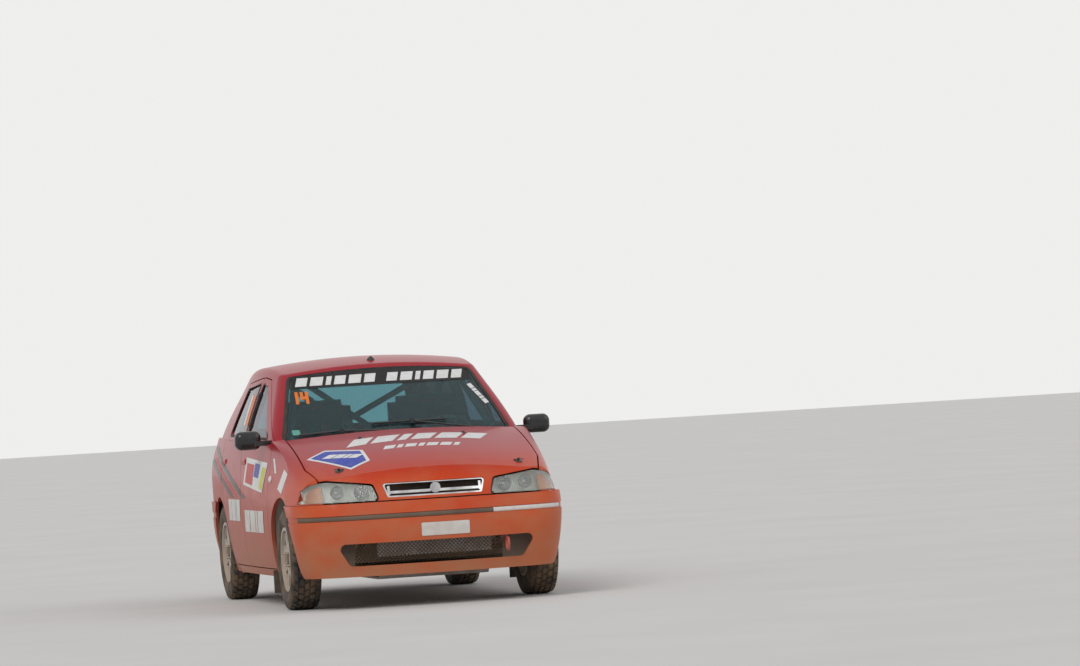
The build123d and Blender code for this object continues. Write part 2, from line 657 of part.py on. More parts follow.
# Cabin: dashboard, seats, steering wheel and roll cage
SEAT_Y = 350
DASH_HALF_WIDTH = 578
dash = profile([(745, 640), (745, 925), (640, 948), (540, 936), (505, 880), (560, 640)], -DASH_HALF_WIDTH,
               DASH_HALF_WIDTH, 18)
binnacle = profile([(600, 900), (600, 972), (520, 990), (492, 972), (512, 900)], SEAT_Y - 160, SEAT_Y + 150, 8)
keep(joined(dash, binnacle), "dashboard")

# A bucket seat: the cushion and back, between sides that stand proud at hip and shoulder
SEAT_PAN = [(385, 212), (392, 400), (360, 418), (20, 366), (-110, 700), (-168, 1130), (-200, 1196), (-238, 1190),
            (-214, 740), (-110, 212)]
SEAT_SIDE = [(385, 212), (405, 450), (350, 500), (110, 490), (-10, 560), (-40, 700), (-60, 900), (-40, 985),
             (-90, 1040), (-140, 1060), (-170, 1150), (-238, 1160), (-214, 740), (-110, 212)]
SEAT_HALF_WIDTH = 232
SIDE_T = 52
pan = profile(SEAT_PAN, SEAT_Y - SEAT_HALF_WIDTH + SIDE_T, SEAT_Y + SEAT_HALF_WIDTH - SIDE_T, 14)
sides = [profile(SEAT_SIDE, y, y + SIDE_T, 14) for y in (SEAT_Y - SEAT_HALF_WIDTH, SEAT_Y + SEAT_HALF_WIDTH - SIDE_T)]
keep(with_mirror(joined(pan, *sides)), "seats")

WHEEL_HUB = (392, SEAT_Y, 892)
RAKE = 24
STEERING_R, RIM_SECTION_R = 175, 14
with BuildPart() as steering_wheel:
    with BuildSketch(Plane.XZ):
        with Locations((STEERING_R, 0)):
            Circle(RIM_SECTION_R)
    revolve(axis=Axis.Z)
    for turn in (90, 210, 330):
        with Locations(Location((0, 0, -6), (0, 0, turn))):
            Box(STEERING_R - 5, 30, 8, align=(Align.MIN, Align.CENTER, Align.CENTER))
    Cylinder(38, 60, align=(Align.CENTER, Align.CENTER, Align.MAX))
facing = (-math.cos(math.radians(RAKE)), 0, math.sin(math.radians(RAKE)))
steering_wheel_at = Location(Plane(origin=WHEEL_HUB, z_dir=facing))
keep(steering_wheel_at * steering_wheel.part, "steering_wheel")

CAGE_R, BRACE_R = 20, 18
hoop = tube([(-260, -640, 208), (-260, -640, 900), (-260, -500, 1345), (-260, 500, 1345), (-260, 640, 900),
             (-260, 640, 208)], 60, CAGE_R)
side_run = tube([(705, 645, 208), (705, 645, 850), (110, 500, 1296), (-260, 500, 1345)], 60, CAGE_R)
STAY_FOOT = (-1290, 455, 812)
stay = bar((-260, 490, 1335), STAY_FOOT, CAGE_R)
stay_plate = block(-1330, -1250, 415, 495, TOWER_Z + 1, 814)
door_bars = [bar((-260, 655, 300), (705, 655, 640), CAGE_R), bar((-260, 655, 640), (705, 655, 300), CAGE_R)]
stay_brace = bar((-260, -430, 1345), STAY_FOOT, BRACE_R)
hoop_brace = bar((-260, 630, 420), (-260, -500, 1320), CAGE_R)
harness_bar = bar((-260, -632, 900), (-260, 632, 900), BRACE_R)
cage_side = joined(side_run, stay, stay_plate, stay_brace, *door_bars)
keep(joined(hoop, hoop_brace, harness_bar, with_mirror(cage_side)), "roll_cage")

# Wipers: a blade on the glass, an arm from its spindle in the cowl, and the joint between them
WIPER_R = 6
SPINDLE_X = 872


def on_glass(y, z, out):
    """A point ahead of the windscreen's outer face."""
    along = Axis((2000, y, z), (-1, 0, 0))
    hits = [point.X for point, normal in windscreen.find_intersection_points(along)]
    return (max(hits) + out, y, z)


wiper_pieces = []
# Blades and arms. Columns: blade ends and joint (across, up), then the spindle across and up
WIPERS = [((-583, 1000), (-262, 1016), (-338, 1012), -30, 1000), ((-150, 1044), (300, 1046), (90, 1046), 470, 985)]
for blade_start, blade_end, joint, spindle_y, spindle_z in WIPERS:
    middle = on_glass(*joint, 21)
    blade = joined(bar(on_glass(*blade_start, 21), middle, WIPER_R), bar(middle, on_glass(*blade_end, 21), WIPER_R))
    clip = block(*[c + s for c in on_glass(*joint, 34) for s in (-12, 12)])
    arm = bar(on_glass(*joint, 34), (SPINDLE_X, spindle_y, spindle_z), WIPER_R)
    wiper_pieces += [blade, clip, arm]
keep(joined(*wiper_pieces), "wipers")
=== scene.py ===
import math

import bmesh
import bpy
from bpy.props import FloatProperty, FloatVectorProperty, IntProperty, PointerProperty
from mathutils import Matrix, Vector
from mathutils.bvhtree import BVHTree


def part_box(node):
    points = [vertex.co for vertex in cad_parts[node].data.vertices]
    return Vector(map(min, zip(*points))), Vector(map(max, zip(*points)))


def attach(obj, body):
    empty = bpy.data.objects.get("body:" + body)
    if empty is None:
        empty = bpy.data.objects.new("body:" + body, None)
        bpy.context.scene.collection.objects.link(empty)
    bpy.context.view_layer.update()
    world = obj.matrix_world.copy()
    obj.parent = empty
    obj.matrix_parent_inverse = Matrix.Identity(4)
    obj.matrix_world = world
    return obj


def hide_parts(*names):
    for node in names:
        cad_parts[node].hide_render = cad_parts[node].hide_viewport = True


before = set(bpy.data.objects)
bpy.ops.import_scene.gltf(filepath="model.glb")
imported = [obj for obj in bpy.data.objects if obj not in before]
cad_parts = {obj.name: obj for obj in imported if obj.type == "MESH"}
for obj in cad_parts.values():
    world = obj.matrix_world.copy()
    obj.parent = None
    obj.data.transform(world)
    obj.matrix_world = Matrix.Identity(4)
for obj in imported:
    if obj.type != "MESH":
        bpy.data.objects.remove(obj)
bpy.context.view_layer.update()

bl_info = {
    "name": "Rally Hatchback Finish",
    "version": (1, 0, 0),
    "blender": (4, 5, 0),
    "location": "View3D > Sidebar > Rally Car",
    "description": "Paint, glass, lamps, tyres, trim and cabin fittings of a rally hatchback",
    "category": "Object",
}

# Where the camera stands and looks, in metres and radians, and the frame's long side in pixels
CAMERA_AT = Vector((33.3913, -5.7341, 1.2327))
CAMERA_YAW, CAMERA_PITCH, CAMERA_ROLL = 2.9415, 0.0085, -0.0602
FOCAL_PIXELS, FRAME_PIXELS, SENSOR_MM = 5644.6565, 1080, 36

# Each facing has a place to look from, the direction to its right and the one up, as someone there sees them
FACINGS = {
    "ahead": (Vector((3, 0, 0)), Vector((0, 1, 0)), Vector((0, 0, 1))),
    "behind": (Vector((-3, 0, 0)), Vector((0, -1, 0)), Vector((0, 0, 1))),
    "left": (Vector((0, 2, 0)), Vector((-1, 0, 0)), Vector((0, 0, 1))),
    "right": (Vector((0, -2, 0)), Vector((1, 0, 0)), Vector((0, 0, 1))),
    "above": (Vector((0, 0, 3)), Vector((0, 1, 0)), Vector((-1, 0, 0))),
}
SIDES = (("left", 1), ("right", -1))
# How far a line goes on: from a side to short of the middle, and from the ends or above right through
NEAR_HALF, FAR_END = 1.6, 6.0

# How high a film lies on the paint, and those on it and on those
FILM, SECOND_FILM, THIRD_FILM = 0.0006, 0.0014, 0.0022

AXLES = {"front": 1.170, "rear": -1.203}
HALF_TRACK, WHEEL_Z = 0.694, 0.293
SEAT_Y = 0.350


# Materials

def new_material(name, colour, roughness, **fixed):
    """A material with its shader's plain sockets set."""
    material = bpy.data.materials.new(name)
    material.use_nodes = True
    shader = material.node_tree.nodes["Principled BSDF"]
    shader.inputs["Base Color"].default_value = (*colour, 1)
    shader.inputs["Roughness"].default_value = roughness
    for socket, value in fixed.items():
        shader.inputs[socket.replace("_", " ")].default_value = value
    return material, material.node_tree, shader


def object_place(tree):
    return tree.nodes.new("ShaderNodeTexCoord").outputs["Object"]


def noise(tree, scale, detail=4.0, stretch=(1, 1, 1)):
    """A noise value that stays with the object."""
    mapping = tree.nodes.new("ShaderNodeMapping")
    mapping.inputs["Scale"].default_value = stretch
    texture = tree.nodes.new("ShaderNodeTexNoise")
    texture.inputs["Scale"].default_value = scale
    texture.inputs["Detail"].default_value = detail
    tree.links.new(object_place(tree), mapping.inputs["Vector"])
    tree.links.new(mapping.outputs["Vector"], texture.inputs["Vector"])
    return texture.outputs["Fac"]


def ranged(tree, value, low, high, to_low=0.0, to_high=1.0):
    """A value mapped from one range to another, and held within it."""
    node = tree.nodes.new("ShaderNodeMapRange")
    tree.links.new(value, node.inputs["Value"])
    for socket, number in (("From Min", low), ("From Max", high), ("To Min", to_low), ("To Max", to_high)):
        node.inputs[socket].default_value = number
    return node.outputs["Result"]


def maths(tree, operation, first, second):
    node = tree.nodes.new("ShaderNodeMath")
    node.operation = operation
    for socket, value in zip(node.inputs, (first, second)):
        if isinstance(value, bpy.types.NodeSocket):
            tree.links.new(value, socket)
        else:
            socket.default_value = value
    return node.outputs["Value"]


def mixed(tree, amount, first, second):
    """Two colours mixed by an amount."""
    node = tree.nodes.new("ShaderNodeMix")
    node.data_type = "RGBA"
    tree.links.new(amount, node.inputs["Factor"])
    for socket, value in ((node.inputs[6], first), (node.inputs[7], second)):
        if isinstance(value, bpy.types.NodeSocket):
            tree.links.new(value, socket)
        else:
            socket.default_value = (*value, 1)
    return node.outputs[2]


def place_of(tree, axis):
    split = tree.nodes.new("ShaderNodeSeparateXYZ")
    tree.links.new(object_place(tree), split.inputs["Vector"])
    return split.outputs[axis]


def height_of(tree):
    return place_of(tree, "Z")


def add_bump(tree, shader, height, strength, distance):
    node = tree.nodes.new("ShaderNodeBump")
    node.inputs["Strength"].default_value = strength
    node.inputs["Distance"].default_value = distance
    tree.links.new(height, node.inputs["Height"])
    tree.links.new(node.outputs["Normal"], shader.inputs["Normal"])


def dusted(tree, shader, colour, roughness, clear_z, thick_z, most):
    """Dust in patches, thick below one height and gone above another, over a colour."""
    dust = bpy.context.scene.rally_finish.dust_colour[:]
    patches = ranged(tree, noise(tree, 5.0, 6.0, (1, 1, 1.6)), 0.3, 0.7, -0.16, 0.16)
    level = maths(tree, "ADD", height_of(tree), patches)
    cover = ranged(tree, level, clear_z, thick_z, 0.0, most)
    specks = ranged(tree, noise(tree, 160.0, 2.0), 0.62, 0.70, 0.0, 0.35)
    amount = maths(tree, "MAXIMUM", cover, maths(tree, "MULTIPLY", specks, ranged(tree, level, 1.3, 0.5)))
    tree.links.new(mixed(tree, amount, colour, dust), shader.inputs["Base Color"])
    tree.links.new(ranged(tree, amount, 0, 1, roughness, 0.9), shader.inputs["Roughness"])
    return amount


def body_paint():
    sizes = bpy.context.scene.rally_finish
    material, tree, shader = new_material("body_paint", sizes.paint_colour, 0.3, Specular_IOR_Level=0.12,
                                          Coat_Weight=0.2, Coat_Roughness=0.05, Coat_IOR=1.3)
    high, low = sizes.paint_colour[:], sizes.paint_low_colour[:]
    # Red above and orange on the nose, and the darker red again behind it
    ahead = ranged(tree, place_of(tree, "X"), 0.9, 1.75)
    nose = maths(tree, "MULTIPLY", ranged(tree, height_of(tree), 0.92, 0.70),
                 ranged(tree, ahead, 0, 1, 0.3, 1.0))
    faded = ranged(tree, noise(tree, 2.5, 5.0), 0.35, 0.7, 0.0, 0.25)
    shade = mixed(tree, faded, mixed(tree, nose, high, low), [min(1, c * 1.25 + 0.01) for c in high])
    dusted(tree, shader, shade, 0.3, sizes.dust_top, sizes.dust_full, 0.62)
    add_bump(tree, shader, noise(tree, 420.0, 1.0), 0.04, 0.0004)
    return material


def plain_paint(name, colour, roughness, dust=0.5):
    """Paint with a little orange peel and dust low down."""
    material, tree, shader = new_material(name, colour, roughness)
    tone = mixed(tree, ranged(tree, noise(tree, 12.0), 0.35, 0.65), colour, [c * 0.82 for c in colour])
    dusted(tree, shader, tone, roughness, 0.75, 0.2, dust)
    add_bump(tree, shader, noise(tree, 300.0, 2.0), 0.06, 0.0005)
    return material


def moulded_plastic(name, colour, roughness=0.55, dust=0.5):
    material, tree, shader = new_material(name, colour, roughness)
    tone = mixed(tree, ranged(tree, noise(tree, 30.0), 0.3, 0.7), colour, [c * 1.6 + 0.004 for c in colour])
    dusted(tree, shader, tone, roughness, 0.95, 0.2, dust)
    add_bump(tree, shader, noise(tree, 900.0, 2.0), 0.18, 0.0004)
    return material


def metal(name, colour, roughness, grain=(1, 1, 1), dust=0.35):
    """Bare metal with a directional grain and stains."""
    material, tree, shader = new_material(name, colour, roughness, Metallic=1.0)
    stains = ranged(tree, noise(tree, 14.0, 6.0), 0.35, 0.7)
    tone = mixed(tree, stains, colour, [c * 0.6 for c in colour])
    dusted(tree, shader, tone, roughness, 0.7, 0.15, dust)
    add_bump(tree, shader, noise(tree, 220.0, 3.0, grain), 0.1, 0.0005)
    return material


def rubber(name, colour=(0.022, 0.022, 0.023), dust=0.5):
    material, tree, shader = new_material(name, colour, 0.75)
    dirt = bpy.context.scene.rally_finish.dust_colour[:]
    wear = ranged(tree, noise(tree, 9.0, 6.0), 0.35, 0.72, 0.0, dust)
    tree.links.new(mixed(tree, wear, colour, [c * 0.8 for c in dirt]), shader.inputs["Base Color"])
    tree.links.new(ranged(tree, noise(tree, 40.0), 0, 1, 0.62, 0.92), shader.inputs["Roughness"])
    add_bump(tree, shader, noise(tree, 260.0, 4.0), 0.2, 0.0006)
    return material


def window_glass(name, tint, dust=0.12):
    """Tinted glass with dried dust on it."""
    material, tree, shader = new_material(name, tint, 0.03, Transmission_Weight=0.96, IOR=1.22)
    dirt = bpy.context.scene.rally_finish.dust_colour[:]
    film = ranged(tree, noise(tree, 3.5, 6.0), 0.4, 0.8, 0.0, dust)
    tree.links.new(mixed(tree, film, tint, dirt), shader.inputs["Base Color"])
    tree.links.new(ranged(tree, noise(tree, 6.0, 3.0), 0.4, 0.8, 0.0, 0.03), shader.inputs["Roughness"])
    return material


def lamp_glass():
    """Fluted clear lens."""
    clear = (0.86, 0.9, 0.88)
    material, tree, shader = new_material("lamp_glass", clear, 0.06, Transmission_Weight=0.92, IOR=1.45)
    wave = tree.nodes.new("ShaderNodeTexWave")
    wave.bands_direction = "Y"
    wave.inputs["Scale"].default_value = 26.0
    wave.inputs["Distortion"].default_value = 0.0
    tree.links.new(object_place(tree), wave.inputs["Vector"])
    add_bump(tree, shader, wave.outputs["Fac"], 0.5, 0.003)
    film = ranged(tree, noise(tree, 9.0, 5.0), 0.35, 0.8, 0.0, 0.3)
    dirt = bpy.context.scene.rally_finish.dust_colour[:]
    tree.links.new(mixed(tree, film, clear, dirt), shader.inputs["Base Color"])
    return material


def tail_lamp_glass():
    """Red lens with an amber and a clear band, ribbed across."""
    material, tree, shader = new_material("tail_lamp_glass", (0.5, 0.01, 0.01), 0.15, Coat_Weight=0.6)
    level = height_of(tree)
    amber = maths(tree, "MULTIPLY", ranged(tree, level, 0.842, 0.844), ranged(tree, level, 0.9, 0.898))
    clear = maths(tree, "MULTIPLY", ranged(tree, level, 0.74, 0.742), ranged(tree, level, 0.79, 0.788))
    lens = mixed(tree, amber, (0.42, 0.008, 0.01), (0.75, 0.24, 0.02))
    lens = mixed(tree, clear, lens, (0.62, 0.6, 0.58))
    dusted(tree, shader, lens, 0.15, 0.95, 0.4, 0.3)
    ribs = tree.nodes.new("ShaderNodeTexWave")
    ribs.bands_direction = "Z"
    ribs.inputs["Scale"].default_value = 38.0
    tree.links.new(object_place(tree), ribs.inputs["Vector"])
    add_bump(tree, shader, ribs.outputs["Fac"], 0.4, 0.0012)
    return material


def woven(name, colour, scale=900.0):
    """Woven cloth or webbing."""
    material, tree, shader = new_material(name, colour, 0.9, Sheen_Weight=0.3)
    weave = tree.nodes.new("ShaderNodeTexChecker")
    weave.inputs["Scale"].default_value = scale
    tree.links.new(object_place(tree), weave.inputs["Vector"])
    weave.inputs["Color1"].default_value = (*colour, 1)
    weave.inputs["Color2"].default_value = (*[c * 0.55 for c in colour], 1)
    worn = ranged(tree, noise(tree, 18.0), 0.45, 0.8, 0.0, 0.5)
    fade = [min(1, c * 1.7 + 0.02) for c in colour]
    tree.links.new(mixed(tree, worn, weave.outputs["Color"], fade), shader.inputs["Base Color"])
    add_bump(tree, shader, weave.outputs["Fac"], 0.3, 0.0006)
    return material


def sticker(name, colour, roughness=0.35, grime_share=0.22):
    """Vinyl film with grime and dust."""
    material, tree, shader = new_material(name, colour, roughness, Specular_IOR_Level=0.15)
    grime = ranged(tree, noise(tree, 22.0, 5.0), 0.4, 0.75, 0.0, grime_share)
    dirt = bpy.context.scene.rally_finish.dust_colour[:]
    tone = mixed(tree, grime, colour, dirt)
    dusted(tree, shader, tone, roughness, 0.72, 0.3, 0.36)
    return material


def mirror_glass():
    material, tree, shader = new_material("mirror_glass", (0.8, 0.82, 0.83), 0.04, Metallic=1.0)
    tree.links.new(ranged(tree, noise(tree, 30.0), 0.4, 0.8, 0.03, 0.22), shader.inputs["Roughness"])
    return material


# Which maker gives each material, by its name
MATERIALS = {
    "body_paint": body_paint,
    "shell_paint": lambda: plain_paint("shell_paint", (0.36, 0.35, 0.33), 0.5),
    "window_glass": lambda: window_glass("window_glass", (0.30, 0.52, 0.56), 0.03),
    "side_glass": lambda: window_glass("side_glass", (0.20, 0.25, 0.33), 0.06),
    "lamp_glass": lamp_glass,
    "tail_lamp_glass": tail_lamp_glass,
    "chrome": lambda: metal("chrome", (0.72, 0.72, 0.73), 0.12, dust=0.25),
    "lamp_silver": lambda: plain_paint("lamp_silver", (0.80, 0.82, 0.76), 0.2, 0.1),
    "black_plastic": lambda: moulded_plastic("black_plastic", (0.018, 0.018, 0.02)),
    "gloss_black": lambda: moulded_plastic("gloss_black", (0.012, 0.012, 0.014), 0.2, 0.15),
    "cast_metal": lambda: metal("cast_metal", (0.3, 0.3, 0.3), 0.6),
    "black_steel": lambda: plain_paint("black_steel", (0.03, 0.03, 0.032), 0.45),
    "worn_steel": lambda: metal("worn_steel", (0.42, 0.39, 0.35), 0.45, (1, 6, 1)),
    "aluminium": lambda: metal("aluminium", (0.6, 0.6, 0.61), 0.4, (6, 1, 1)),
    "wheel_white": lambda: plain_paint("wheel_white", (0.62, 0.61, 0.58), 0.4, 0.6),
    "tyre_rubber": lambda: rubber("tyre_rubber", dust=0.62),
    "seal_rubber": lambda: rubber("seal_rubber", (0.012, 0.012, 0.013), 0.12),
    "flap_rubber": lambda: rubber("flap_rubber", (0.03, 0.03, 0.03), 0.5),
    "tow_red": lambda: plain_paint("tow_red", (0.5, 0.02, 0.02), 0.4),
    "seat_cloth": lambda: woven("seat_cloth", (0.028, 0.028, 0.034)),
    "seat_red": lambda: woven("seat_red", (0.35, 0.02, 0.02)),
    "strap_red": lambda: woven("strap_red", (0.42, 0.02, 0.03), 1400.0),
    "suede": lambda: woven("suede", (0.03, 0.03, 0.032), 2400.0),
    "cage_paint": lambda: plain_paint("cage_paint", (0.045, 0.045, 0.05), 0.4, 0.1),
    "white_film": lambda: sticker("white_film", (0.82, 0.82, 0.8)),
    "black_film": lambda: sticker("black_film", (0.008, 0.008, 0.010), 0.25, 0.02),
    "orange_film": lambda: sticker("orange_film", (0.9, 0.2, 0.015)),
    "blue_film": lambda: sticker("blue_film", (0.015, 0.05, 0.42)),
    "yellow_film": lambda: sticker("yellow_film", (0.6, 0.62, 0.05)),
    "teal_film": lambda: sticker("teal_film", (0.12, 0.4, 0.34)),
    "red_film": lambda: sticker("red_film", (0.55, 0.02, 0.03)),
    "amber_lens": lambda: sticker("amber_lens", (0.8, 0.22, 0.02), 0.12),
    "mirror_glass": mirror_glass,
}

# The finish of each CAD node that shows. A name stands for every node that starts with it
NODE_FINISH = {
    "body_side": "body_paint", "door_front": "body_paint", "door_rear": "body_paint",
    "roof_panel": "body_paint", "tailgate": "body_paint", "bonnet": "body_paint",
    "front_wings": "body_paint", "front_bumper": "body_paint", "rear_bumper": "body_paint",
    "door_glass": "side_glass", "windscreen": "window_glass", "tailgate_glass": "window_glass",
    "tail_lamps": "tail_lamp_glass", "headlamps": "lamp_glass", "grille": "chrome",
    "cowl_panel": "black_plastic", "mirror": "gloss_black", "floor_pan": "shell_paint",
    "front_structure": "shell_paint", "radiator": "aluminium", "engine_block": "cast_metal",
    "front_subframe": "black_steel", "sump_guard": "aluminium", "rear_axle": "black_steel",
    "knuckle": "cast_metal", "wheel": "wheel_white", "tyre": "tyre_rubber",
    "fuel_tank": "black_plastic", "exhaust": "worn_steel", "mud_flaps": "flap_rubber",
    "tow_eye": "tow_red", "dashboard": "black_plastic", "seats": "seat_cloth",
    "steering_wheel": "suede", "roll_cage": "cage_paint", "wipers": "black_plastic",
}

FINISHES = {}


def finish_of(name):
    """A material by name, made the first time that it is asked for."""
    if name not in FINISHES:
        FINISHES[name] = MATERIALS[name]()
    return FINISHES[name]


def node_finish(node):
    """The finish whose name is the longest start of the node's name."""
    starts = [start for start in NODE_FINISH if node.startswith(start)]
    return NODE_FINISH[max(starts, key=len)]


# Shapes

def add_piece(name, mesh, material, body, smooth_deg=35):
    """A finished mesh as a piece of the car that rides on one of its bodies."""
    bmesh.ops.recalc_face_normals(mesh, faces=mesh.faces)
    data = bpy.data.meshes.new(name)
    mesh.to_mesh(data)
    mesh.free()
    data.polygons.foreach_set("use_smooth", [True] * len(data.polygons))
    data.set_sharp_from_angle(angle=math.radians(smooth_deg))
    piece = bpy.data.objects.new(name, data)
    bpy.context.scene.collection.objects.link(piece)
    data.materials.append(finish_of(material))
    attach(piece, body)
    return piece


def surface(*names):
    """The faces of some CAD nodes, to lay things on."""
    points, faces = [], []
    for name in names:
        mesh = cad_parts[name].data
        start = len(points)
        points += [vertex.co.copy() for vertex in mesh.vertices]
        faces += [[start + i for i in polygon.vertices] for polygon in mesh.polygons]
    return BVHTree.FromPolygons(points, faces)


def land(tree, facing, across, up):
    """Where a line from a facing first meets a surface, and the way out of it there. None if it misses."""
    origin, right, upward = FACINGS[facing]
    inward = upward.cross(right)
    start = origin + right * across + upward * up
    reach = NEAR_HALF if facing in ("left", "right") else FAR_END
    hit, normal = tree.ray_cast(start, inward, reach)[:2]
    if hit is None:
        return None
    return hit, (normal if normal.dot(inward) < 0 else -normal)


def rounded(points, radius, steps=6):
    """A closed outline with its corners rounded."""
    outline = []
    for i, corner in enumerate(points):
        corner = Vector(corner)
        before = Vector(points[i - 1]) - corner
        after = Vector(points[(i + 1) % len(points)]) - corner
        reach = min(radius, before.length * 0.45, after.length * 0.45)
        start, end = corner + before.normalized() * reach, corner + after.normalized() * reach
        for step in range(steps + 1):
            t = step / steps
            outline.append(start * (1 - t) ** 2 + corner * 2 * t * (1 - t) + end * t ** 2)
    return outline


def evenly(points, spacing, closed=True):
    """Points along an outline, no further apart than a spacing."""
    dense = []
    ends = list(zip(points, points[1:] + points[:1])) if closed else list(zip(points, points[1:]))
    for start, end in ends:
        start, end = Vector(start), Vector(end)
        count = max(1, math.ceil((end - start).length / spacing))
        dense += [start.lerp(end, i / count) for i in range(count)]
    return dense if closed else dense + [Vector(points[-1])]


def lay_sheet(mesh, tree, facing, outline, lift=FILM, thickness=0.0005, cell=0.03):
    """A thin sheet cut to an outline and laid on a surface."""
    origin, right, upward = FACINGS[facing]
    cut = bmesh.new()
    cut.faces.new([cut.verts.new(origin + right * a + upward * b) for a, b in outline])
    for direction, values in ((right, [p[0] for p in outline]), (upward, [p[1] for p in outline])):
        low, high = min(values), max(values)
        count = math.ceil((high - low) / cell)
        for i in range(1, count):
            place = origin + direction * (low + (high - low) * i / count)
            bmesh.ops.bisect_plane(cut, geom=cut.verts[:] + cut.edges[:] + cut.faces[:], plane_co=place,
                                   plane_no=direction)
    bmesh.ops.triangulate(cut, faces=[face for face in cut.faces if len(face.verts) > 4])
    top, bottom = {}, {}
    for vertex in cut.verts:
        offset = vertex.co - origin
        landed = land(tree, facing, offset.dot(right), offset.dot(upward))
        if landed:
            hit, normal = landed
            top[vertex] = mesh.verts.new(hit + normal * (lift + thickness))
            bottom[vertex] = mesh.verts.new(hit + normal * lift)
    kept = [face for face in cut.faces if all(vertex in top for vertex in face.verts)]
    edges = {}
    for face in kept:
        mesh.faces.new([top[vertex] for vertex in face.verts])
        mesh.faces.new([bottom[vertex] for vertex in reversed(face.verts)])
        for edge in face.edges:
            edges[edge] = edges.get(edge, 0) + 1
    for edge, uses in edges.items():
        if uses == 1:
            first, second = edge.verts
            mesh.faces.new((top[first], top[second], bottom[second], bottom[first]))
    cut.free()


def lay_bead(mesh, tree, facing, path, width, height, closed=True, sink=0.001, steps=6):
    """A half-round strip along a path on a surface."""
    landed = [land(tree, facing, a, b) for a, b in path]
    landed = [place for place in landed if place]
    rings = []
    for i, (hit, normal) in enumerate(landed):
        before = landed[i - 1][0] if closed or i else hit
        after = landed[(i + 1) % len(landed)][0] if closed or i + 1 < len(landed) else hit
        side = (after - before).normalized().cross(normal).normalized()
        ring = []
        for step in range(steps + 1):
            turn = math.pi * step / steps
            ring.append(mesh.verts.new(hit + side * (math.cos(turn) * width / 2)
                                       + normal * (math.sin(turn) * height - sink)))
        rings.append(ring)
    pairs = list(zip(rings, rings[1:])) + ([(rings[-1], rings[0])] if closed else [])
    for first, second in pairs:
        for i in range(len(first)):
            j = (i + 1) % len(first)
            mesh.faces.new((first[i], first[j], second[j], second[i]))
    if not closed:
        mesh.faces.new(rings[0])
        mesh.faces.new(list(reversed(rings[-1])))


def add_rod(mesh, start, end, radius, sides=12, end_radius=None):
    """A round rod between two points, tapered if it has an end radius."""
    start, end = Vector(start), Vector(end)
    along = (end - start).normalized()
    side = along.orthogonal().normalized()
    other = along.cross(side)
    rings = []
    for place, size in ((start, radius), (end, radius if end_radius is None else end_radius)):
        rings.append([mesh.verts.new(place + (side * math.cos(t) + other * math.sin(t)) * size)
                      for t in [2 * math.pi * i / sides for i in range(sides)]])
    for i in range(sides):
        j = (i + 1) % sides
        mesh.faces.new((rings[0][i], rings[0][j], rings[1][j], rings[1][i]))
    mesh.faces.new(list(reversed(rings[0])))
    mesh.faces.new(rings[1])


def add_turned(mesh, centre, axis, section, steps=48, closed=True):
    """A shape turned about an axis through a centre. The section's columns are along the axis and radius."""
    axis = Vector(axis).normalized()
    side = axis.orthogonal().normalized()
    other = axis.cross(side)
    centre = Vector(centre)
    rings = []
    for step in range(steps):
        turn = 2 * math.pi * step / steps
        out = side * math.cos(turn) + other * math.sin(turn)
        rings.append([mesh.verts.new(centre + axis * along + out * max(radius, 1e-5))
                      for along, radius in section])
    count = len(section)
    for i, ring in enumerate(rings):
        after = rings[(i + 1) % steps]
        for j in range(count if closed else count - 1):
            k = (j + 1) % count
            mesh.faces.new((ring[j], ring[k], after[k], after[j]))


def stand_turned(mesh, tree, facing, across, up, section, steps):
    """A turned shape that stands on a surface."""
    hit, normal = land(tree, facing, across, up)
    add_turned(mesh, hit, normal, section, steps)


def add_block(mesh, low, high, bevel=0.0, turn=None):
    """A block between two corners, its edges eased, turned about its middle by a matrix."""
    low, high = Vector(low), Vector(high)
    middle, size = (low + high) / 2, high - low
    block = bmesh.new()
    bmesh.ops.create_cube(block, size=1)
    bmesh.ops.scale(block, vec=size, verts=block.verts)
    if bevel:
        bmesh.ops.bevel(block, geom=block.edges[:], offset=bevel, segments=2, affect="EDGES")
    if turn:
        bmesh.ops.rotate(block, cent=(0, 0, 0), matrix=turn, verts=block.verts)
    copies = {vertex: mesh.verts.new(vertex.co + middle) for vertex in block.verts}
    for face in block.faces:
        mesh.faces.new([copies[vertex] for vertex in face.verts])
    block.free()


def add_ribbon(mesh, points, width, thickness, across):
    """A flat strap along points, its width along one direction."""
    points = [Vector(point) for point in points]
    across = Vector(across).normalized()
    rings = []
    for i, point in enumerate(points):
        along = (points[min(i + 1, len(points) - 1)] - points[max(i - 1, 0)]).normalized()
        wide = (across - along * across.dot(along)).normalized()
        out = wide.cross(along)
        rings.append([mesh.verts.new(point + wide * a * width / 2 + out * b * thickness / 2)
                      for a, b in ((-1, -1), (1, -1), (1, 1), (-1, 1))])
    for first, second in zip(rings, rings[1:]):
        for i in range(4):
            j = (i + 1) % 4
            mesh.faces.new((first[i], first[j], second[j], second[i]))
    mesh.faces.new(list(reversed(rings[0])))
    mesh.faces.new(rings[-1])


def slanted_row(start, end, height, pieces, lean=0.35, gap=0.25):
    """A row of leaning bars between two points, as outlines, in place of a line of large letters."""
    start, end = Vector(start), Vector(end)
    along = end - start
    up = Vector((-along.y, along.x)).normalized() * height
    shift = along.normalized() * height * lean
    total = sum(pieces) + gap * (len(pieces) - 1)
    outlines, place = [], 0.0
    for piece in pieces:
        low = start + along * (place / total)
        high = start + along * ((place + piece) / total)
        outlines.append([low, high, high + up + shift, low + up + shift])
        place += piece + gap
    return outlines


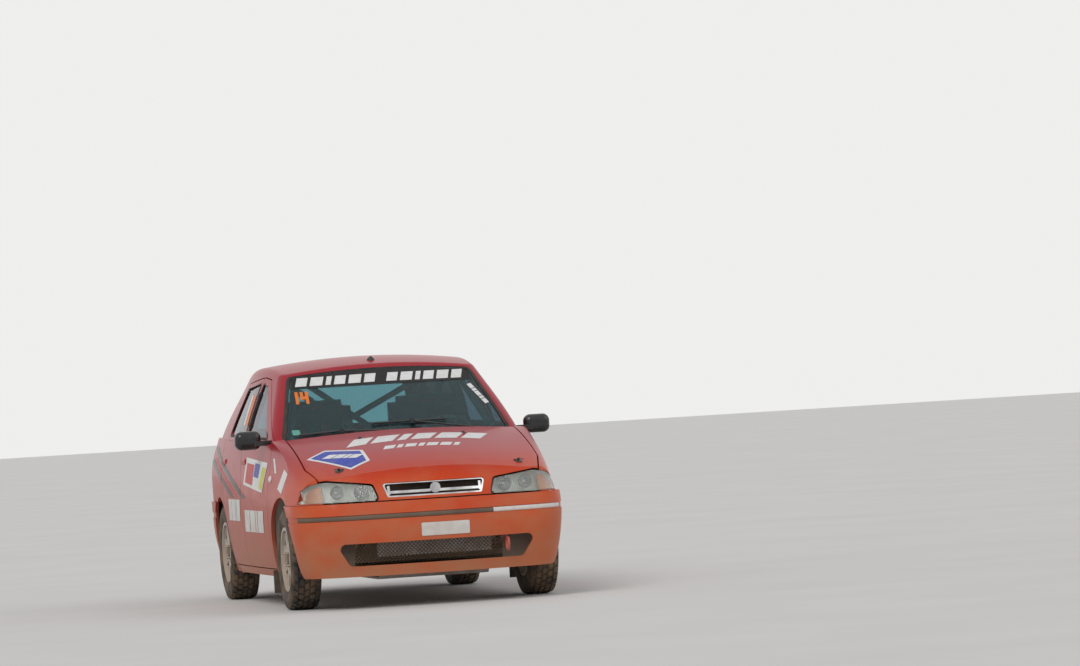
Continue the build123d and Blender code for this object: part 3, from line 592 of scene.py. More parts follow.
def digit_outlines(text, corner, height, lean=0.12):
    """Plain seven-bar digits as outlines, from the lower left corner. The bars' letters go round from the top."""
    bars = {"0": "abcdef", "1": "bc", "2": "abged", "3": "abgcd", "4": "fgbc", "5": "afgcd",
            "6": "afgedc", "7": "abc", "8": "abcdefg", "9": "abcdfg"}
    wide, thick = 0.66 * height, 0.25 * height
    half = height / 2
    places = {"a": (0, wide, height - thick, height), "d": (0, wide, 0, thick),
              "g": (0, wide, half - thick / 2, half + thick / 2), "f": (0, thick, half, height),
              "e": (0, thick, 0, half), "b": (wide - thick, wide, half, height),
              "c": (wide - thick, wide, 0, half)}
    outlines = []
    for i, digit in enumerate(text):
        left = i * 0.82 * height
        for bar in bars[digit]:
            x0, x1, z0, z1 = places[bar]
            outlines.append([(corner[0] + left + x + z * lean, corner[1] + z)
                             for x, z in ((x0, z0), (x1, z0), (x1, z1), (x0, z1))])
    return outlines


def lay_sheets(name, tree, facing, outlines, material, body, lift=FILM, cell=0.03):
    """Several outlines as one piece of film."""
    mesh = bmesh.new()
    for outline in outlines:
        lay_sheet(mesh, tree, facing, outline, lift, cell=cell)
    return add_piece(name, mesh, material, body)


# The user's sizes and colours

class RallyFinish(bpy.types.PropertyGroup):
    """Sizes and colours of the finish"""
    paint_colour: FloatVectorProperty(name="Paint", description="Colour of the upper panels", subtype="COLOR",
                                      default=(0.36, 0.008, 0.020), min=0, max=1)
    paint_low_colour: FloatVectorProperty(name="Low paint", description="Colour of the panels by the bumpers",
                                          subtype="COLOR", default=(0.68, 0.075, 0.010), min=0, max=1)
    dust_colour: FloatVectorProperty(name="Dust", description="Colour of the dust", subtype="COLOR",
                                     default=(0.42, 0.27, 0.15), min=0, max=1)
    dust_top: FloatProperty(name="Dust top", description="Height where the dust ends", default=0.80,
                            unit="LENGTH", min=0)
    dust_full: FloatProperty(name="Dust full", description="Height below which the dust is thick",
                             default=0.12, unit="LENGTH", min=0)
    tread_depth: FloatProperty(name="Tread depth", description="Height of the tyres' blocks", default=0.010,
                               unit="LENGTH", min=0.002, max=0.02)
    tread_blocks: IntProperty(name="Tread blocks", description="Blocks round a tyre in each row", default=34,
                              min=12, max=60)


class RallyOperator(bpy.types.Operator):
    """What the car's operators share"""
    bl_options = {"REGISTER", "UNDO"}

    @property
    def sizes(self):
        return bpy.context.scene.rally_finish


class RALLY_OT_stage(RallyOperator):
    """Make the floor, the lights and the camera"""
    bl_idname = "rally.stage"
    bl_label = "Stage"

    # Columns: name, where it shines from, spread in degrees, strength
    LAMPS = [("key", (6.0, -5.0, 8.0), 30, 1.15), ("fill", (4.0, 7.0, 6.0), 50, 0.4)]

    def execute(self, context):
        self.make_world(context.scene)
        self.make_floor(context.scene)
        for lamp in self.LAMPS:
            self.add_lamp(context.scene, *lamp)
        self.make_camera(context.scene)
        context.scene.view_settings.view_transform = "Standard"
        return {"FINISHED"}

    def make_world(self, scene):
        world = bpy.data.worlds.new("studio")
        world.use_nodes = True
        scene.world = world
        tree = world.node_tree
        light = tree.nodes["Background"]
        light.inputs["Color"].default_value = (0.92, 0.95, 1.0, 1)
        light.inputs["Strength"].default_value = 0.42
        seen = tree.nodes.new("ShaderNodeBackground")
        seen.inputs["Color"].default_value = (0.86, 0.86, 0.85, 1)
        path = tree.nodes.new("ShaderNodeLightPath")
        rays = maths(tree, "MAXIMUM", path.outputs["Is Camera Ray"], path.outputs["Is Transmission Ray"])
        rays = maths(tree, "MAXIMUM", rays, path.outputs["Is Glossy Ray"])
        mix = tree.nodes.new("ShaderNodeMixShader")
        tree.links.new(rays, mix.inputs[0])
        tree.links.new(light.outputs[0], mix.inputs[1])
        tree.links.new(seen.outputs[0], mix.inputs[2])
        tree.links.new(mix.outputs[0], tree.nodes["World Output"].inputs["Surface"])

    def make_floor(self, scene):
        reach = 120.0
        mesh = bmesh.new()
        corners = [mesh.verts.new((x, y, 0)) for x, y in ((-reach, -reach), (reach, -reach), (reach, reach),
                                                         (-reach, reach))]
        mesh.faces.new(corners)
        data = bpy.data.meshes.new("floor")
        mesh.to_mesh(data)
        mesh.free()
        floor = bpy.data.objects.new("floor", data)
        scene.collection.objects.link(floor)
        material, tree, shader = new_material("floor", (0.72, 0.70, 0.67), 0.85)
        patches = ranged(tree, noise(tree, 0.8, 5.0), 0.3, 0.7)
        tone = mixed(tree, patches, (0.74, 0.72, 0.69), (0.70, 0.68, 0.65))
        tree.links.new(tone, shader.inputs["Base Color"])
        data.materials.append(material)

    def add_lamp(self, scene, name, place, spread, strength):
        data = bpy.data.lights.new(name, "SUN")
        data.angle = math.radians(spread)
        data.energy = strength
        lamp = bpy.data.objects.new(name, data)
        lamp.location = place
        lamp.rotation_mode = "QUATERNION"
        lamp.rotation_quaternion = (Vector((0, 0, 0.6)) - Vector(place)).to_track_quat("-Z", "Y")
        scene.collection.objects.link(lamp)

    def make_camera(self, scene):
        level = math.cos(CAMERA_PITCH)
        ahead = Vector((level * math.cos(CAMERA_YAW), level * math.sin(CAMERA_YAW), math.sin(CAMERA_PITCH)))
        flat = ahead.cross(Vector((0, 0, 1))).normalized()
        upright = flat.cross(ahead)
        right = flat * math.cos(CAMERA_ROLL) + upright * math.sin(CAMERA_ROLL)
        up = upright * math.cos(CAMERA_ROLL) - flat * math.sin(CAMERA_ROLL)
        data = bpy.data.cameras.new("camera")
        data.sensor_width = SENSOR_MM
        data.lens = FOCAL_PIXELS / FRAME_PIXELS * SENSOR_MM
        data.clip_end = 500
        camera = bpy.data.objects.new("camera", data)
        turn = Matrix((right, up, -ahead)).transposed()
        camera.matrix_world = Matrix.Translation(CAMERA_AT) @ turn.to_4x4()
        scene.collection.objects.link(camera)
        scene.camera = camera


class RALLY_OT_finish_nodes(RallyOperator):
    """Give every CAD node its finish"""
    bl_idname = "rally.finish_nodes"
    bl_label = "Paint, glass and metal"

    def execute(self, context):
        for name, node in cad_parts.items():
            node.data.materials.clear()
            node.data.materials.append(finish_of(node_finish(name)))
        return {"FINISHED"}


class RALLY_OT_tyres(RallyOperator):
    """Gravel tyres with block tread in place of the plain ones"""
    bl_idname = "rally.tyres"
    bl_label = "Tyres"

    # Half of the tyre's section, from the bead outwards. Columns: across, radius
    HALF_SECTION = [(0.068, 0.187), (0.078, 0.191), (0.0835, 0.205), (0.0860, 0.214), (0.0845, 0.217),
                    (0.0885, 0.236), (0.0885, 0.246), (0.0865, 0.250), (0.0850, 0.268), (0.0760, 0.281)]
    # Rows of blocks across the tread. Columns: inner edge, outer edge, shift round the tyre
    ROWS = [(-0.0825, -0.053, 0.5), (-0.047, -0.018, 0.0), (-0.013, 0.013, 0.5), (0.018, 0.047, 0.0),
            (0.053, 0.0825, 0.5)]

    def execute(self, context):
        for end, x in AXLES.items():
            for side, sign in SIDES:
                self.make_tyre(f"{end}_{side}", Vector((x, sign * HALF_TRACK, WHEEL_Z)))
        return {"FINISHED"}

    def make_tyre(self, place, centre):
        mesh = bmesh.new()
        crown = WHEEL_Z - self.sizes.tread_depth
        half = [(a, min(r, crown)) for a, r in self.HALF_SECTION]
        section = half + [(0.03, crown), (-0.03, crown)] + [(-a, r) for a, r in reversed(half)]
        add_turned(mesh, centre, (0, 1, 0), section, 72)
        for low, high, shift in self.ROWS:
            for i in range(self.sizes.tread_blocks):
                self.add_tread_block(mesh, centre, low, high, (i + shift) / self.sizes.tread_blocks, crown)
        tyre = add_piece(f"tread_tyre_{place}", mesh, "tyre_rubber", f"wheel_{place}")
        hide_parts(f"tyre_{place}")

    def add_tread_block(self, mesh, centre, low, high, share, crown):
        """One block, narrower at its top, whose shoulder edge drops with the tyre's."""
        half_turn = 0.36 * 2 * math.pi / self.sizes.tread_blocks
        middle = share * 2 * math.pi
        skew = 0.25 * half_turn * (1 if high > 0 else -1)
        levels = []
        for radius, ease in ((crown - 0.006, 0.0), (WHEEL_Z - 0.0012, 0.0012), (WHEEL_Z - 0.0002, 0.0028)):
            ring = []
            for y, edge in ((low, 1), (high, -1)):
                across = y + edge * ease
                drop = max(0.0, abs(across) - 0.066) * 0.62 if radius > crown else 0.0
                for sweep in (-1, 1):
                    turn = middle + sweep * (half_turn - ease / WHEEL_Z) + skew * edge
                    reach = radius - drop
                    ring.append(mesh.verts.new(centre + Vector((math.sin(turn) * reach, across,
                                                                math.cos(turn) * reach))))
            levels.append([ring[0], ring[1], ring[3], ring[2]])
        for lower, upper in zip(levels, levels[1:]):
            for i in range(4):
                j = (i + 1) % 4
                mesh.faces.new((lower[i], lower[j], upper[j], upper[i]))
        mesh.faces.new(levels[-1])
        mesh.faces.new(list(reversed(levels[0])))


class RALLY_OT_wheel_details(RallyOperator):
    """Wheel nuts, centre caps and valves"""
    bl_idname = "rally.wheel_details"
    bl_label = "Wheel details"

    NUT_CIRCLE, NUTS = 0.049, 4
    NUT_SECTION = [(0.060, 0.0), (0.060, 0.0095), (0.074, 0.0095), (0.077, 0.0075), (0.077, 0.0)]
    CAP_SECTION = [(0.062, 0.0), (0.062, 0.031), (0.068, 0.031), (0.0715, 0.027), (0.0725, 0.0)]

    def execute(self, context):
        for end, x in AXLES.items():
            for side, sign in SIDES:
                centre = Vector((x, sign * HALF_TRACK, WHEEL_Z))
                self.make_hardware(f"{end}_{side}", centre, sign)
        return {"FINISHED"}

    def make_hardware(self, place, centre, sign):
        nuts = bmesh.new()
        for i in range(self.NUTS):
            turn = math.radians(45) + 2 * math.pi * i / self.NUTS
            offset = Vector((math.cos(turn), 0, math.sin(turn))) * self.NUT_CIRCLE
            add_turned(nuts, centre + offset, (0, sign, 0), self.NUT_SECTION, 6)
        add_piece(f"wheel_nuts_{place}", nuts, "worn_steel", f"wheel_{place}", 20)
        cap = bmesh.new()
        add_turned(cap, centre, (0, sign, 0), self.CAP_SECTION, 32)
        add_piece(f"centre_cap_{place}", cap, "black_plastic", f"wheel_{place}")
        valve = bmesh.new()
        root = centre + Vector((0.0, sign * 0.060, 0.166))
        add_rod(valve, root, root + Vector((0, sign * 0.028, -0.012)), 0.004, 10, 0.003)
        add_piece(f"valve_{place}", valve, "black_plastic", f"wheel_{place}")


class RALLY_OT_seals(RallyOperator):
    """Rubber round every window"""
    bl_idname = "rally.seals"
    bl_label = "Window rubbers"

    SCREEN_FOOT, SCREEN_HEAD, SCREEN_CROWN = (0.678, 0.968), (0.545, 1.345), 1.374
    FRONT_WINDOW = [(0.505, 0.988), (-0.004, 1.298), (-0.150, 1.316), (-0.135, 1.000)]
    REAR_WINDOW = [(-0.206, 1.002), (-0.228, 1.316), (-0.682, 1.288), (-0.892, 1.014)]
    TAIL_WINDOW = [(0.535, 1.030), (0.432, 1.312)]

    def execute(self, context):
        self.make_screen_seal()
        self.make_tail_seal()
        for side, sign in SIDES:
            across = -1 if side == "left" else 1
            for door, window in (("front", self.FRONT_WINDOW), ("rear", self.REAR_WINDOW)):
                body = f"door_{door}_{side}"
                tree = surface(body, f"door_glass_{door}_{side}")
                path = evenly(rounded([(x * across, z) for x, z in window], 0.026), 0.02)
                mesh = bmesh.new()
                lay_bead(mesh, tree, side, path, 0.018, 0.004)
                add_piece(f"window_rubber_{door}_{side}", mesh, "seal_rubber", body)
        return {"FINISHED"}

    def make_screen_seal(self):
        tree = surface("windscreen", "body_side_left", "body_side_right", "roof_panel")
        (foot_y, foot_z), (head_y, head_z) = self.SCREEN_FOOT, self.SCREEN_HEAD
        top = [(y, self.SCREEN_CROWN - (self.SCREEN_CROWN - head_z) * (y / head_y) ** 2)
               for y in [head_y * (i / 8 - 1) for i in range(17)]]
        corners = [(-foot_y, foot_z)] + top + [(foot_y, foot_z)]
        path = evenly(rounded(corners, 0.045), 0.025)
        open_path = [point for point in path if point[1] > foot_z + 0.004]
        start = min(range(len(open_path)), key=lambda i: (open_path[i][1], open_path[i][0]))
        ordered = open_path[start:] + open_path[:start]
        mesh = bmesh.new()
        lay_bead(mesh, tree, "ahead", ordered, 0.024, 0.006, closed=False, sink=0.003)
        add_piece("windscreen_rubber", mesh, "seal_rubber", "chassis")

    def make_tail_seal(self):
        tree = surface("tailgate", "tailgate_glass")
        outline = self.TAIL_WINDOW + [(-y, z) for y, z in reversed(self.TAIL_WINDOW)]
        mesh = bmesh.new()
        lay_bead(mesh, tree, "behind", evenly(rounded(outline, 0.04), 0.025), 0.022, 0.005)
        add_piece("tail_window_rubber", mesh, "seal_rubber", "tailgate")


class RALLY_OT_headlamps(RallyOperator):
    """Headlamps with their lenses, reflectors and bulbs"""
    bl_idname = "rally.headlamps"
    bl_label = "Headlamps"

    # The lamp's outline, as across and up, and the amber part of it
    OUTLINE = [(0.326, 0.613), (0.354, 0.698), (0.604, 0.730), (0.690, 0.716), (0.742, 0.668), (0.750, 0.613)]
    AMBER = [(0.640, 0.622), (0.640, 0.716), (0.684, 0.708), (0.728, 0.664), (0.735, 0.622)]
    # Columns: across, up, size
    BOWLS = [(0.415, 0.662, 1.0), (0.545, 0.668, 0.95)]
    # How far behind the lens the tray's back wall and the bowls are
    TRAY_DEPTH, BOWL_DEPTH = 0.066, 0.062
    BOWL = [(0.0, 0.012), (0.006, 0.028), (0.018, 0.042), (0.034, 0.052), (0.036, 0.052), (0.019, 0.044),
            (0.007, 0.030), (-0.002, 0.012)]

    def execute(self, context):
        tree = surface("headlamps")
        lenses, housings, bowls, bulbs, ambers = [bmesh.new() for _ in range(5)]
        for side, sign in SIDES:
            outline = rounded([(y * sign, z) for y, z in self.OUTLINE], 0.018, 4)
            lay_sheet(lenses, tree, "ahead", outline, -0.0032, 0.003, 0.02)
            self.add_housing(housings, tree, outline)
            for y, z, size in self.BOWLS:
                landed = land(tree, "ahead", y * sign, z)
                centre = landed[0] - Vector((self.BOWL_DEPTH, 0, 0))
                section = [(a * size, r * size * 0.8) for a, r in self.BOWL]
                add_turned(bowls, centre, (1, 0, 0), section, 40)
                root, tip = centre + Vector((0.001, 0, 0)), centre + Vector((0.026, 0, 0))
                add_rod(bulbs, root, tip, 0.007, 12, 0.004)
            amber = rounded([(y * sign, z) for y, z in self.AMBER], 0.01, 3)
            lay_sheet(ambers, tree, "ahead", amber, -0.026, 0.003, 0.02)
        lens = add_piece("headlamp_lenses", lenses, "lamp_glass", "chassis")
        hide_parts("headlamps")
        add_piece("headlamp_housings", housings, "lamp_silver", "chassis", 50)
        add_piece("headlamp_reflectors", bowls, "chrome", "chassis")
        add_piece("headlamp_bulbs", bulbs, "white_film", "chassis")
        add_piece("headlamp_indicators", ambers, "amber_lens", "chassis")
        return {"FINISHED"}

    def add_housing(self, mesh, tree, outline):
        """A tray behind the lens: a back wall that follows it, and sides up to it."""
        depth = Vector((-self.TRAY_DEPTH, 0, 0))
        lay = bmesh.new()
        lay_sheet(lay, tree, "ahead", outline, -0.004, 0.001, 0.03)
        copies = {vertex: mesh.verts.new(vertex.co + depth) for vertex in lay.verts}
        for face in lay.faces:
            mesh.faces.new([copies[vertex] for vertex in face.verts])
        lay.free()
        front = [land(tree, "ahead", a, b) for a, b in evenly(outline, 0.02)]
        front = [place[0] for place in front if place]
        rims = [[mesh.verts.new(point + Vector((reach, 0, 0))) for point in front]
                for reach in (-0.0045, -0.069)]
        for i in range(len(front)):
            j = (i + 1) % len(front)
            mesh.faces.new((rims[0][i], rims[0][j], rims[1][j], rims[1][i]))


class RALLY_OT_grilles(RallyOperator):
    """Mesh behind the grille and in the bumper's intake"""
    bl_idname = "rally.grilles"
    bl_label = "Grille and intake"

    # Columns: name, body, place forward, reach across, reach up, pitch of the rods, their radius
    LATTICES = [("grille_mesh", "bonnet", 1.790, (-0.262, 0.262), (0.632, 0.702), 0.012, 0.0018),
                ("intake_mesh", "chassis", 1.760, (-0.500, 0.385), (0.262, 0.372), 0.022, 0.0026)]
    SHORTEST = 0.006

    def execute(self, context):
        for name, body, *sizes in self.LATTICES:
            mesh = bmesh.new()
            self.add_lattice(mesh, *sizes)
            add_piece(name, mesh, "black_plastic", body, 60)
        return {"FINISHED"}

    def add_lattice(self, mesh, x, across, up, pitch, radius):
        """Crossed rods that lean both ways, cut to a box."""
        (y0, y1), (z0, z1) = across, up
        rise = z1 - z0
        count = int((y1 - y0 + rise) / pitch)
        for lean in (1, -1):
            for i in range(count):
                start = y0 - rise + i * pitch
                (ya, za), (yb, zb) = (start, z0), (start + rise, z1)
                # Cut at the box's ends
                if ya < y0:
                    za += y0 - ya
                    ya = y0
                if yb > y1:
                    zb -= yb - y1
                    yb = y1
                if zb - za < self.SHORTEST:
                    continue
                if lean < 0:
                    ya, yb = y0 + y1 - ya, y0 + y1 - yb
                add_rod(mesh, (x + lean * radius * 0.8, ya, za), (x + lean * radius * 0.8, yb, zb), radius, 6)


class RALLY_OT_livery(RallyOperator):
    """Film on the glass and the panels: plain bars, stripes and numbers, and blank plates"""
    bl_idname = "rally.livery"
    bl_label = "Livery"

    # Rows of plain bars stand where there are words. Columns: widths of the bars
    WIDE_ROW = (3, 3, 1, 3, 3, 3)
    NARROW_ROW = (2, 1, 2, 1, 2, 2, 1)
    WORD_ROW = (3, 3.4, 1.4, 3, 3.4, 3)
    ON_GLASS, PLATE_LIFT = 0.001, 0.002
    RUB_STRIP_Z = 0.521
    # Stripes that fall from the tail towards the sill, by their film, as forward and up
    STRIPES = {
        "black_film": [[(-1.48, 0.945), (-1.30, 0.945), (0.02, 0.640), (-0.13, 0.635)],
                       [(-1.58, 0.860), (-1.42, 0.872), (-0.45, 0.640), (-0.60, 0.640)]],
        "red_film": [[(-1.36, 0.875), (-1.28, 0.878), (-0.30, 0.643), (-0.38, 0.643)]],
    }

    def execute(self, context):
        self.dress_windscreen()
        self.dress_bonnet()
        self.dress_nose()
        for side, sign in SIDES:
            self.dress_side(side, -1 if side == "left" else 1)
        self.dress_tail()
        return {"FINISHED"}

    def dress_windscreen(self):
        tree = surface("windscreen")
        strip_top = [(y, 1.366 - 0.034 * (y / 0.53) ** 2) for y in [0.53 * (i / 6 - 1) for i in range(13)]]
        strip_foot = [(0.545, 1.270), (-0.545, 1.270)]
        lay_sheets("sun_strip", tree, "ahead", [strip_top + strip_foot], "black_film", "chassis")
        words = slanted_row((-0.52, 1.283), (-0.05, 1.288), 0.050, self.WORD_ROW, 0.5, 0.9)
        words += slanted_row((0.02, 1.288), (0.48, 1.283), 0.050, self.WORD_ROW, 0.5, 0.9)
        lay_sheets("sun_strip_bars", tree, "ahead", words, "white_film", "chassis", SECOND_FILM)
        digits = digit_outlines("14", (-0.572, 1.180), 0.072)
        lay_sheets("screen_number", tree, "ahead", digits, "orange_film", "chassis", self.ON_GLASS)
        marks = slanted_row((0.50, 1.24), (0.575, 1.12), 0.026, (2, 1, 2, 1, 2))
        lay_sheets("screen_marks", tree, "ahead", marks, "white_film", "chassis", self.ON_GLASS)
        badge = [rounded([(-0.612, 1.000), (-0.568, 1.000), (-0.568, 1.030), (-0.612, 1.030)], 0.006, 3)]
        lay_sheets("screen_sticker", tree, "ahead", badge, "teal_film", "chassis", self.ON_GLASS)

    def dress_bonnet(self):
        tree = surface("bonnet")
        big = slanted_row((-0.40, -1.290), (0.39, -1.272), 0.155, self.WORD_ROW, 0.5, 0.7)
        small = slanted_row((-0.215, -1.452), (0.226, -1.451), 0.066, self.NARROW_ROW, 0.4, 0.5)
        lay_sheets("bonnet_bars", tree, "above", big + small, "white_film", "bonnet")
        edge = [(-0.645, -1.345), (-0.525, -1.260), (-0.325, -1.395), (-0.320, -1.605), (-0.445, -1.675)]
        inner = [(-0.622, -1.350), (-0.527, -1.285), (-0.343, -1.408), (-0.340, -1.592), (-0.442, -1.650)]
        lay_sheets("bonnet_panel_edge", tree, "above", [edge], "white_film", "bonnet")
        lay_sheets("bonnet_panel", tree, "above", [inner], "blue_film", "bonnet", SECOND_FILM)
        bars = slanted_row((-0.565, -1.405), (-0.385, -1.520), 0.06, (2, 2, 1, 2))
        lay_sheets("bonnet_panel_bars", tree, "above", bars, "white_film", "bonnet", THIRD_FILM)

    def dress_nose(self):
        tree = surface("front_bumper")
        self.add_rub_strip("rub_strip", tree, "ahead", -0.76, 0.325, "black_plastic")
        self.add_rub_strip("rub_strip_tape", tree, "ahead", 0.325, 0.745, "white_film")
        plate = rounded([(-0.10, 0.398), (0.178, 0.398), (0.178, 0.472), (-0.10, 0.472)], 0.008, 3)
        lay_sheets("front_plate", tree, "ahead", [plate], "white_film", "chassis", self.PLATE_LIFT)

    def add_rub_strip(self, name, tree, facing, low, high, material):
        strip = bmesh.new()
        path = evenly([(low, self.RUB_STRIP_Z), (high, self.RUB_STRIP_Z)], 0.03, closed=False)
        lay_bead(strip, tree, facing, path, 0.027, 0.0075, closed=False, sink=0.0005)
        add_piece(name, strip, material, "chassis")

    def dress_side(self, side, across):
        """Diagonal stripes and plain panels on one side."""
        def at(points):
            return [(x * across, z) for x, z in points]

        doors = {name: surface(f"door_{name}_{side}") for name in ("front", "rear")}
        panels = {"front": (doors["front"], f"door_front_{side}", (-0.152, 0.70)),
                  "rear": (doors["rear"], f"door_rear_{side}", (-0.965, -0.184)),
                  "quarter": (surface(f"body_side_{side}"), "chassis", (-1.62, -1.004))}
        wing = surface("front_wings")
        for name, (tree, body, (x0, x1)) in panels.items():
            for film, stripes in self.STRIPES.items():
                parts = [self.between(stripe, x0, x1) for stripe in stripes]
                parts = [at(part) for part in parts if len(part) > 2]
                if parts:
                    lay_sheets(f"stripes_{film}_{name}_{side}", tree, side, parts, film, body, cell=0.04)
        row = sorted([(-0.76 * across, 0.50), (-0.26 * across, 0.50)])
        lay_sheets(f"rear_door_bars_{side}", doors["rear"], side, slanted_row(*row, 0.13, self.WIDE_ROW[:4]),
                   "white_film", f"door_rear_{side}", SECOND_FILM, cell=0.05)
        row = sorted([(-0.08 * across, 0.44), (0.60 * across, 0.44)])
        lay_sheets(f"door_bars_{side}", doors["front"], side, slanted_row(*row, 0.13, self.WIDE_ROW[:4]),
                   "white_film", f"door_front_{side}", SECOND_FILM, cell=0.05)
        glass = surface(f"door_glass_rear_{side}")
        for film, low, high in (("orange_film", -0.36, -0.28), ("white_film", -0.44, -0.38)):
            mark = [(low, 1.07), (high, 1.07), (high - 0.02, 1.25), (low - 0.02, 1.25)]
            lay_sheets(f"glass_{film}_{side}", glass, side, [at(mark)], film, f"door_rear_{side}")
        panel = [(-0.05, 0.722), (0.61, 0.676), (0.715, 0.85), (0.05, 0.884)]
        body = f"door_front_{side}"
        lay_sheets(f"door_panel_{side}", doors["front"], side, [at(panel)], "white_film", body, SECOND_FILM)
        fields = (("red_film", [(0.02, 0.735), (0.27, 0.718), (0.32, 0.84), (0.08, 0.85)]),
                  ("yellow_film", [(0.50, 0.70), (0.60, 0.693), (0.68, 0.82), (0.57, 0.828)]),
                  ("blue_film", [(0.31, 0.77), (0.46, 0.76), (0.50, 0.84), (0.35, 0.85)]))
        for film, field in fields:
            lay_sheets(f"door_panel_{film}_{side}", doors["front"], side, [at(field)], film, body, THIRD_FILM)
        oblong = [(1.075, 0.700), (1.200, 0.672), (1.290, 0.785), (1.185, 0.812)]
        lay_sheets(f"wing_oblong_{side}", wing, side, [at(oblong)], "white_film", "chassis")
        tall = [(0.94, 0.79), (0.985, 0.79), (0.90, 0.875), (0.855, 0.875)]
        lay_sheets(f"wing_mark_{side}", wing, side, [at(tall)], "white_film", "chassis")

    def between(self, outline, x0, x1):
        """The part of an outline between two places along the car."""
        for edge, sign in ((x0, 1), (x1, -1)):
            kept = []
            for i, (x, z) in enumerate(outline):
                px, pz = outline[i - 1]
                inside, was_inside = (x - edge) * sign >= 0, (px - edge) * sign >= 0
                if inside != was_inside:
                    share = (edge - px) / (x - px)
                    kept.append((edge, pz + (z - pz) * share))
                if inside:
                    kept.append((x, z))
            outline = kept
        return outline

    def dress_tail(self):
        tree = surface("tailgate")
        plate = rounded([(-0.26, 0.66), (0.26, 0.66), (0.26, 0.77), (-0.26, 0.77)], 0.008, 3)
        lay_sheets("rear_plate", tree, "behind", [plate], "white_film", "tailgate", self.PLATE_LIFT)
        bars = slanted_row((-0.40, 0.86), (0.40, 0.86), 0.06, self.WIDE_ROW)
        lay_sheets("tailgate_bars", tree, "behind", bars, "white_film", "tailgate")
        self.add_rub_strip("rear_rub_strip", surface("rear_bumper"), "behind", -0.745, 0.745, "black_plastic")


class RALLY_OT_small_parts(RallyOperator):
    """Pins, nozzles, repeaters, aerial base, handles' locks and mirror glass"""
    bl_idname = "rally.small_parts"
    bl_label = "Small outside parts"

    # Turned sections, from the surface outwards. Columns: out of the surface, radius
    PIN = [(-0.001, 0.0), (-0.001, 0.026), (0.0015, 0.026), (0.003, 0.022), (0.003, 0.007), (0.018, 0.006),
           (0.021, 0.0)]
    NOZZLE = [(-0.001, 0.0), (-0.001, 0.013), (0.006, 0.011), (0.011, 0.006), (0.012, 0.0)]
    AERIAL = [(-0.001, 0.0), (-0.001, 0.024), (0.007, 0.021), (0.016, 0.011), (0.021, 0.008), (0.023, 0.0)]
    REPEATER = [(-0.001, 0.0), (-0.001, 0.022), (0.006, 0.020), (0.010, 0.012), (0.011, 0.0)]
    LOCK = [(-0.001, 0.0), (-0.001, 0.010), (0.002, 0.010), (0.003, 0.008), (0.003, 0.002), (0.0015, 0.0)]
    PIN_CLIP_UP, PIN_CLIP_REACH = 0.010, 0.03
    # The mirror glass, as half its width and height, and where its two faces lie
    MIRROR_HALF_Y, MIRROR_HALF_Z = 0.055, 0.036
    MIRROR_FACES = (0.002, 0.010)

    def execute(self, context):
        bonnet, roof = surface("bonnet"), surface("roof_panel")
        pins = bmesh.new()
        reach = Vector((0, self.PIN_CLIP_REACH, 0))
        for y in (-0.51, 0.53):
            hit, normal = land(bonnet, "above", y, -1.65)
            add_turned(pins, hit, normal, self.PIN, 28)
            clip = hit + normal * self.PIN_CLIP_UP
            add_rod(pins, clip - reach, clip + reach, 0.0022, 8)
        add_piece("bonnet_pins", pins, "black_steel", "bonnet")
        nozzles, aerial = bmesh.new(), bmesh.new()
        for y in (-0.29, 0.32):
            stand_turned(nozzles, bonnet, "above", y, -1.12, self.NOZZLE, 20)
        add_piece("washer_nozzles", nozzles, "black_plastic", "bonnet")
        stand_turned(aerial, roof, "above", -0.012, -0.028, self.AERIAL, 28)
        add_piece("aerial_base", aerial, "black_plastic", "chassis")
        for side, sign in SIDES:
            self.add_side_parts(side, -1 if side == "left" else 1, sign)
        return {"FINISHED"}

    def add_side_parts(self, side, across, sign):
        repeater, lock, face = bmesh.new(), bmesh.new(), bmesh.new()
        stand_turned(repeater, surface("front_wings"), side, 0.84 * across, 0.755, self.REPEATER, 28)
        add_piece(f"side_repeater_{side}", repeater, "white_film", "chassis")
        stand_turned(lock, surface(f"door_front_{side}"), side, 0.055 * across, 0.85, self.LOCK, 20)
        add_piece(f"door_lock_{side}", lock, "chrome", f"door_front_{side}")
        low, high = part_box(f"mirror_{side}")
        middle_y, middle_z = sign * (abs(low.y + high.y) / 2 + 0.03), (low.z + high.z) / 2
        a, b = self.MIRROR_HALF_Y, self.MIRROR_HALF_Z
        outline = rounded([(-a, -b), (a, -b), (a, b), (-a, b)], 0.024)
        verts, backs = [[face.verts.new((low.x + inset, middle_y + a, middle_z + b)) for a, b in outline]
                        for inset in self.MIRROR_FACES]
        face.faces.new(verts)
        face.faces.new(list(reversed(backs)))
        for i in range(len(verts)):
            j = (i + 1) % len(verts)
            face.faces.new((verts[i], verts[j], backs[j], backs[i]))
        add_piece(f"mirror_glass_{side}", face, "mirror_glass", f"door_front_{side}")


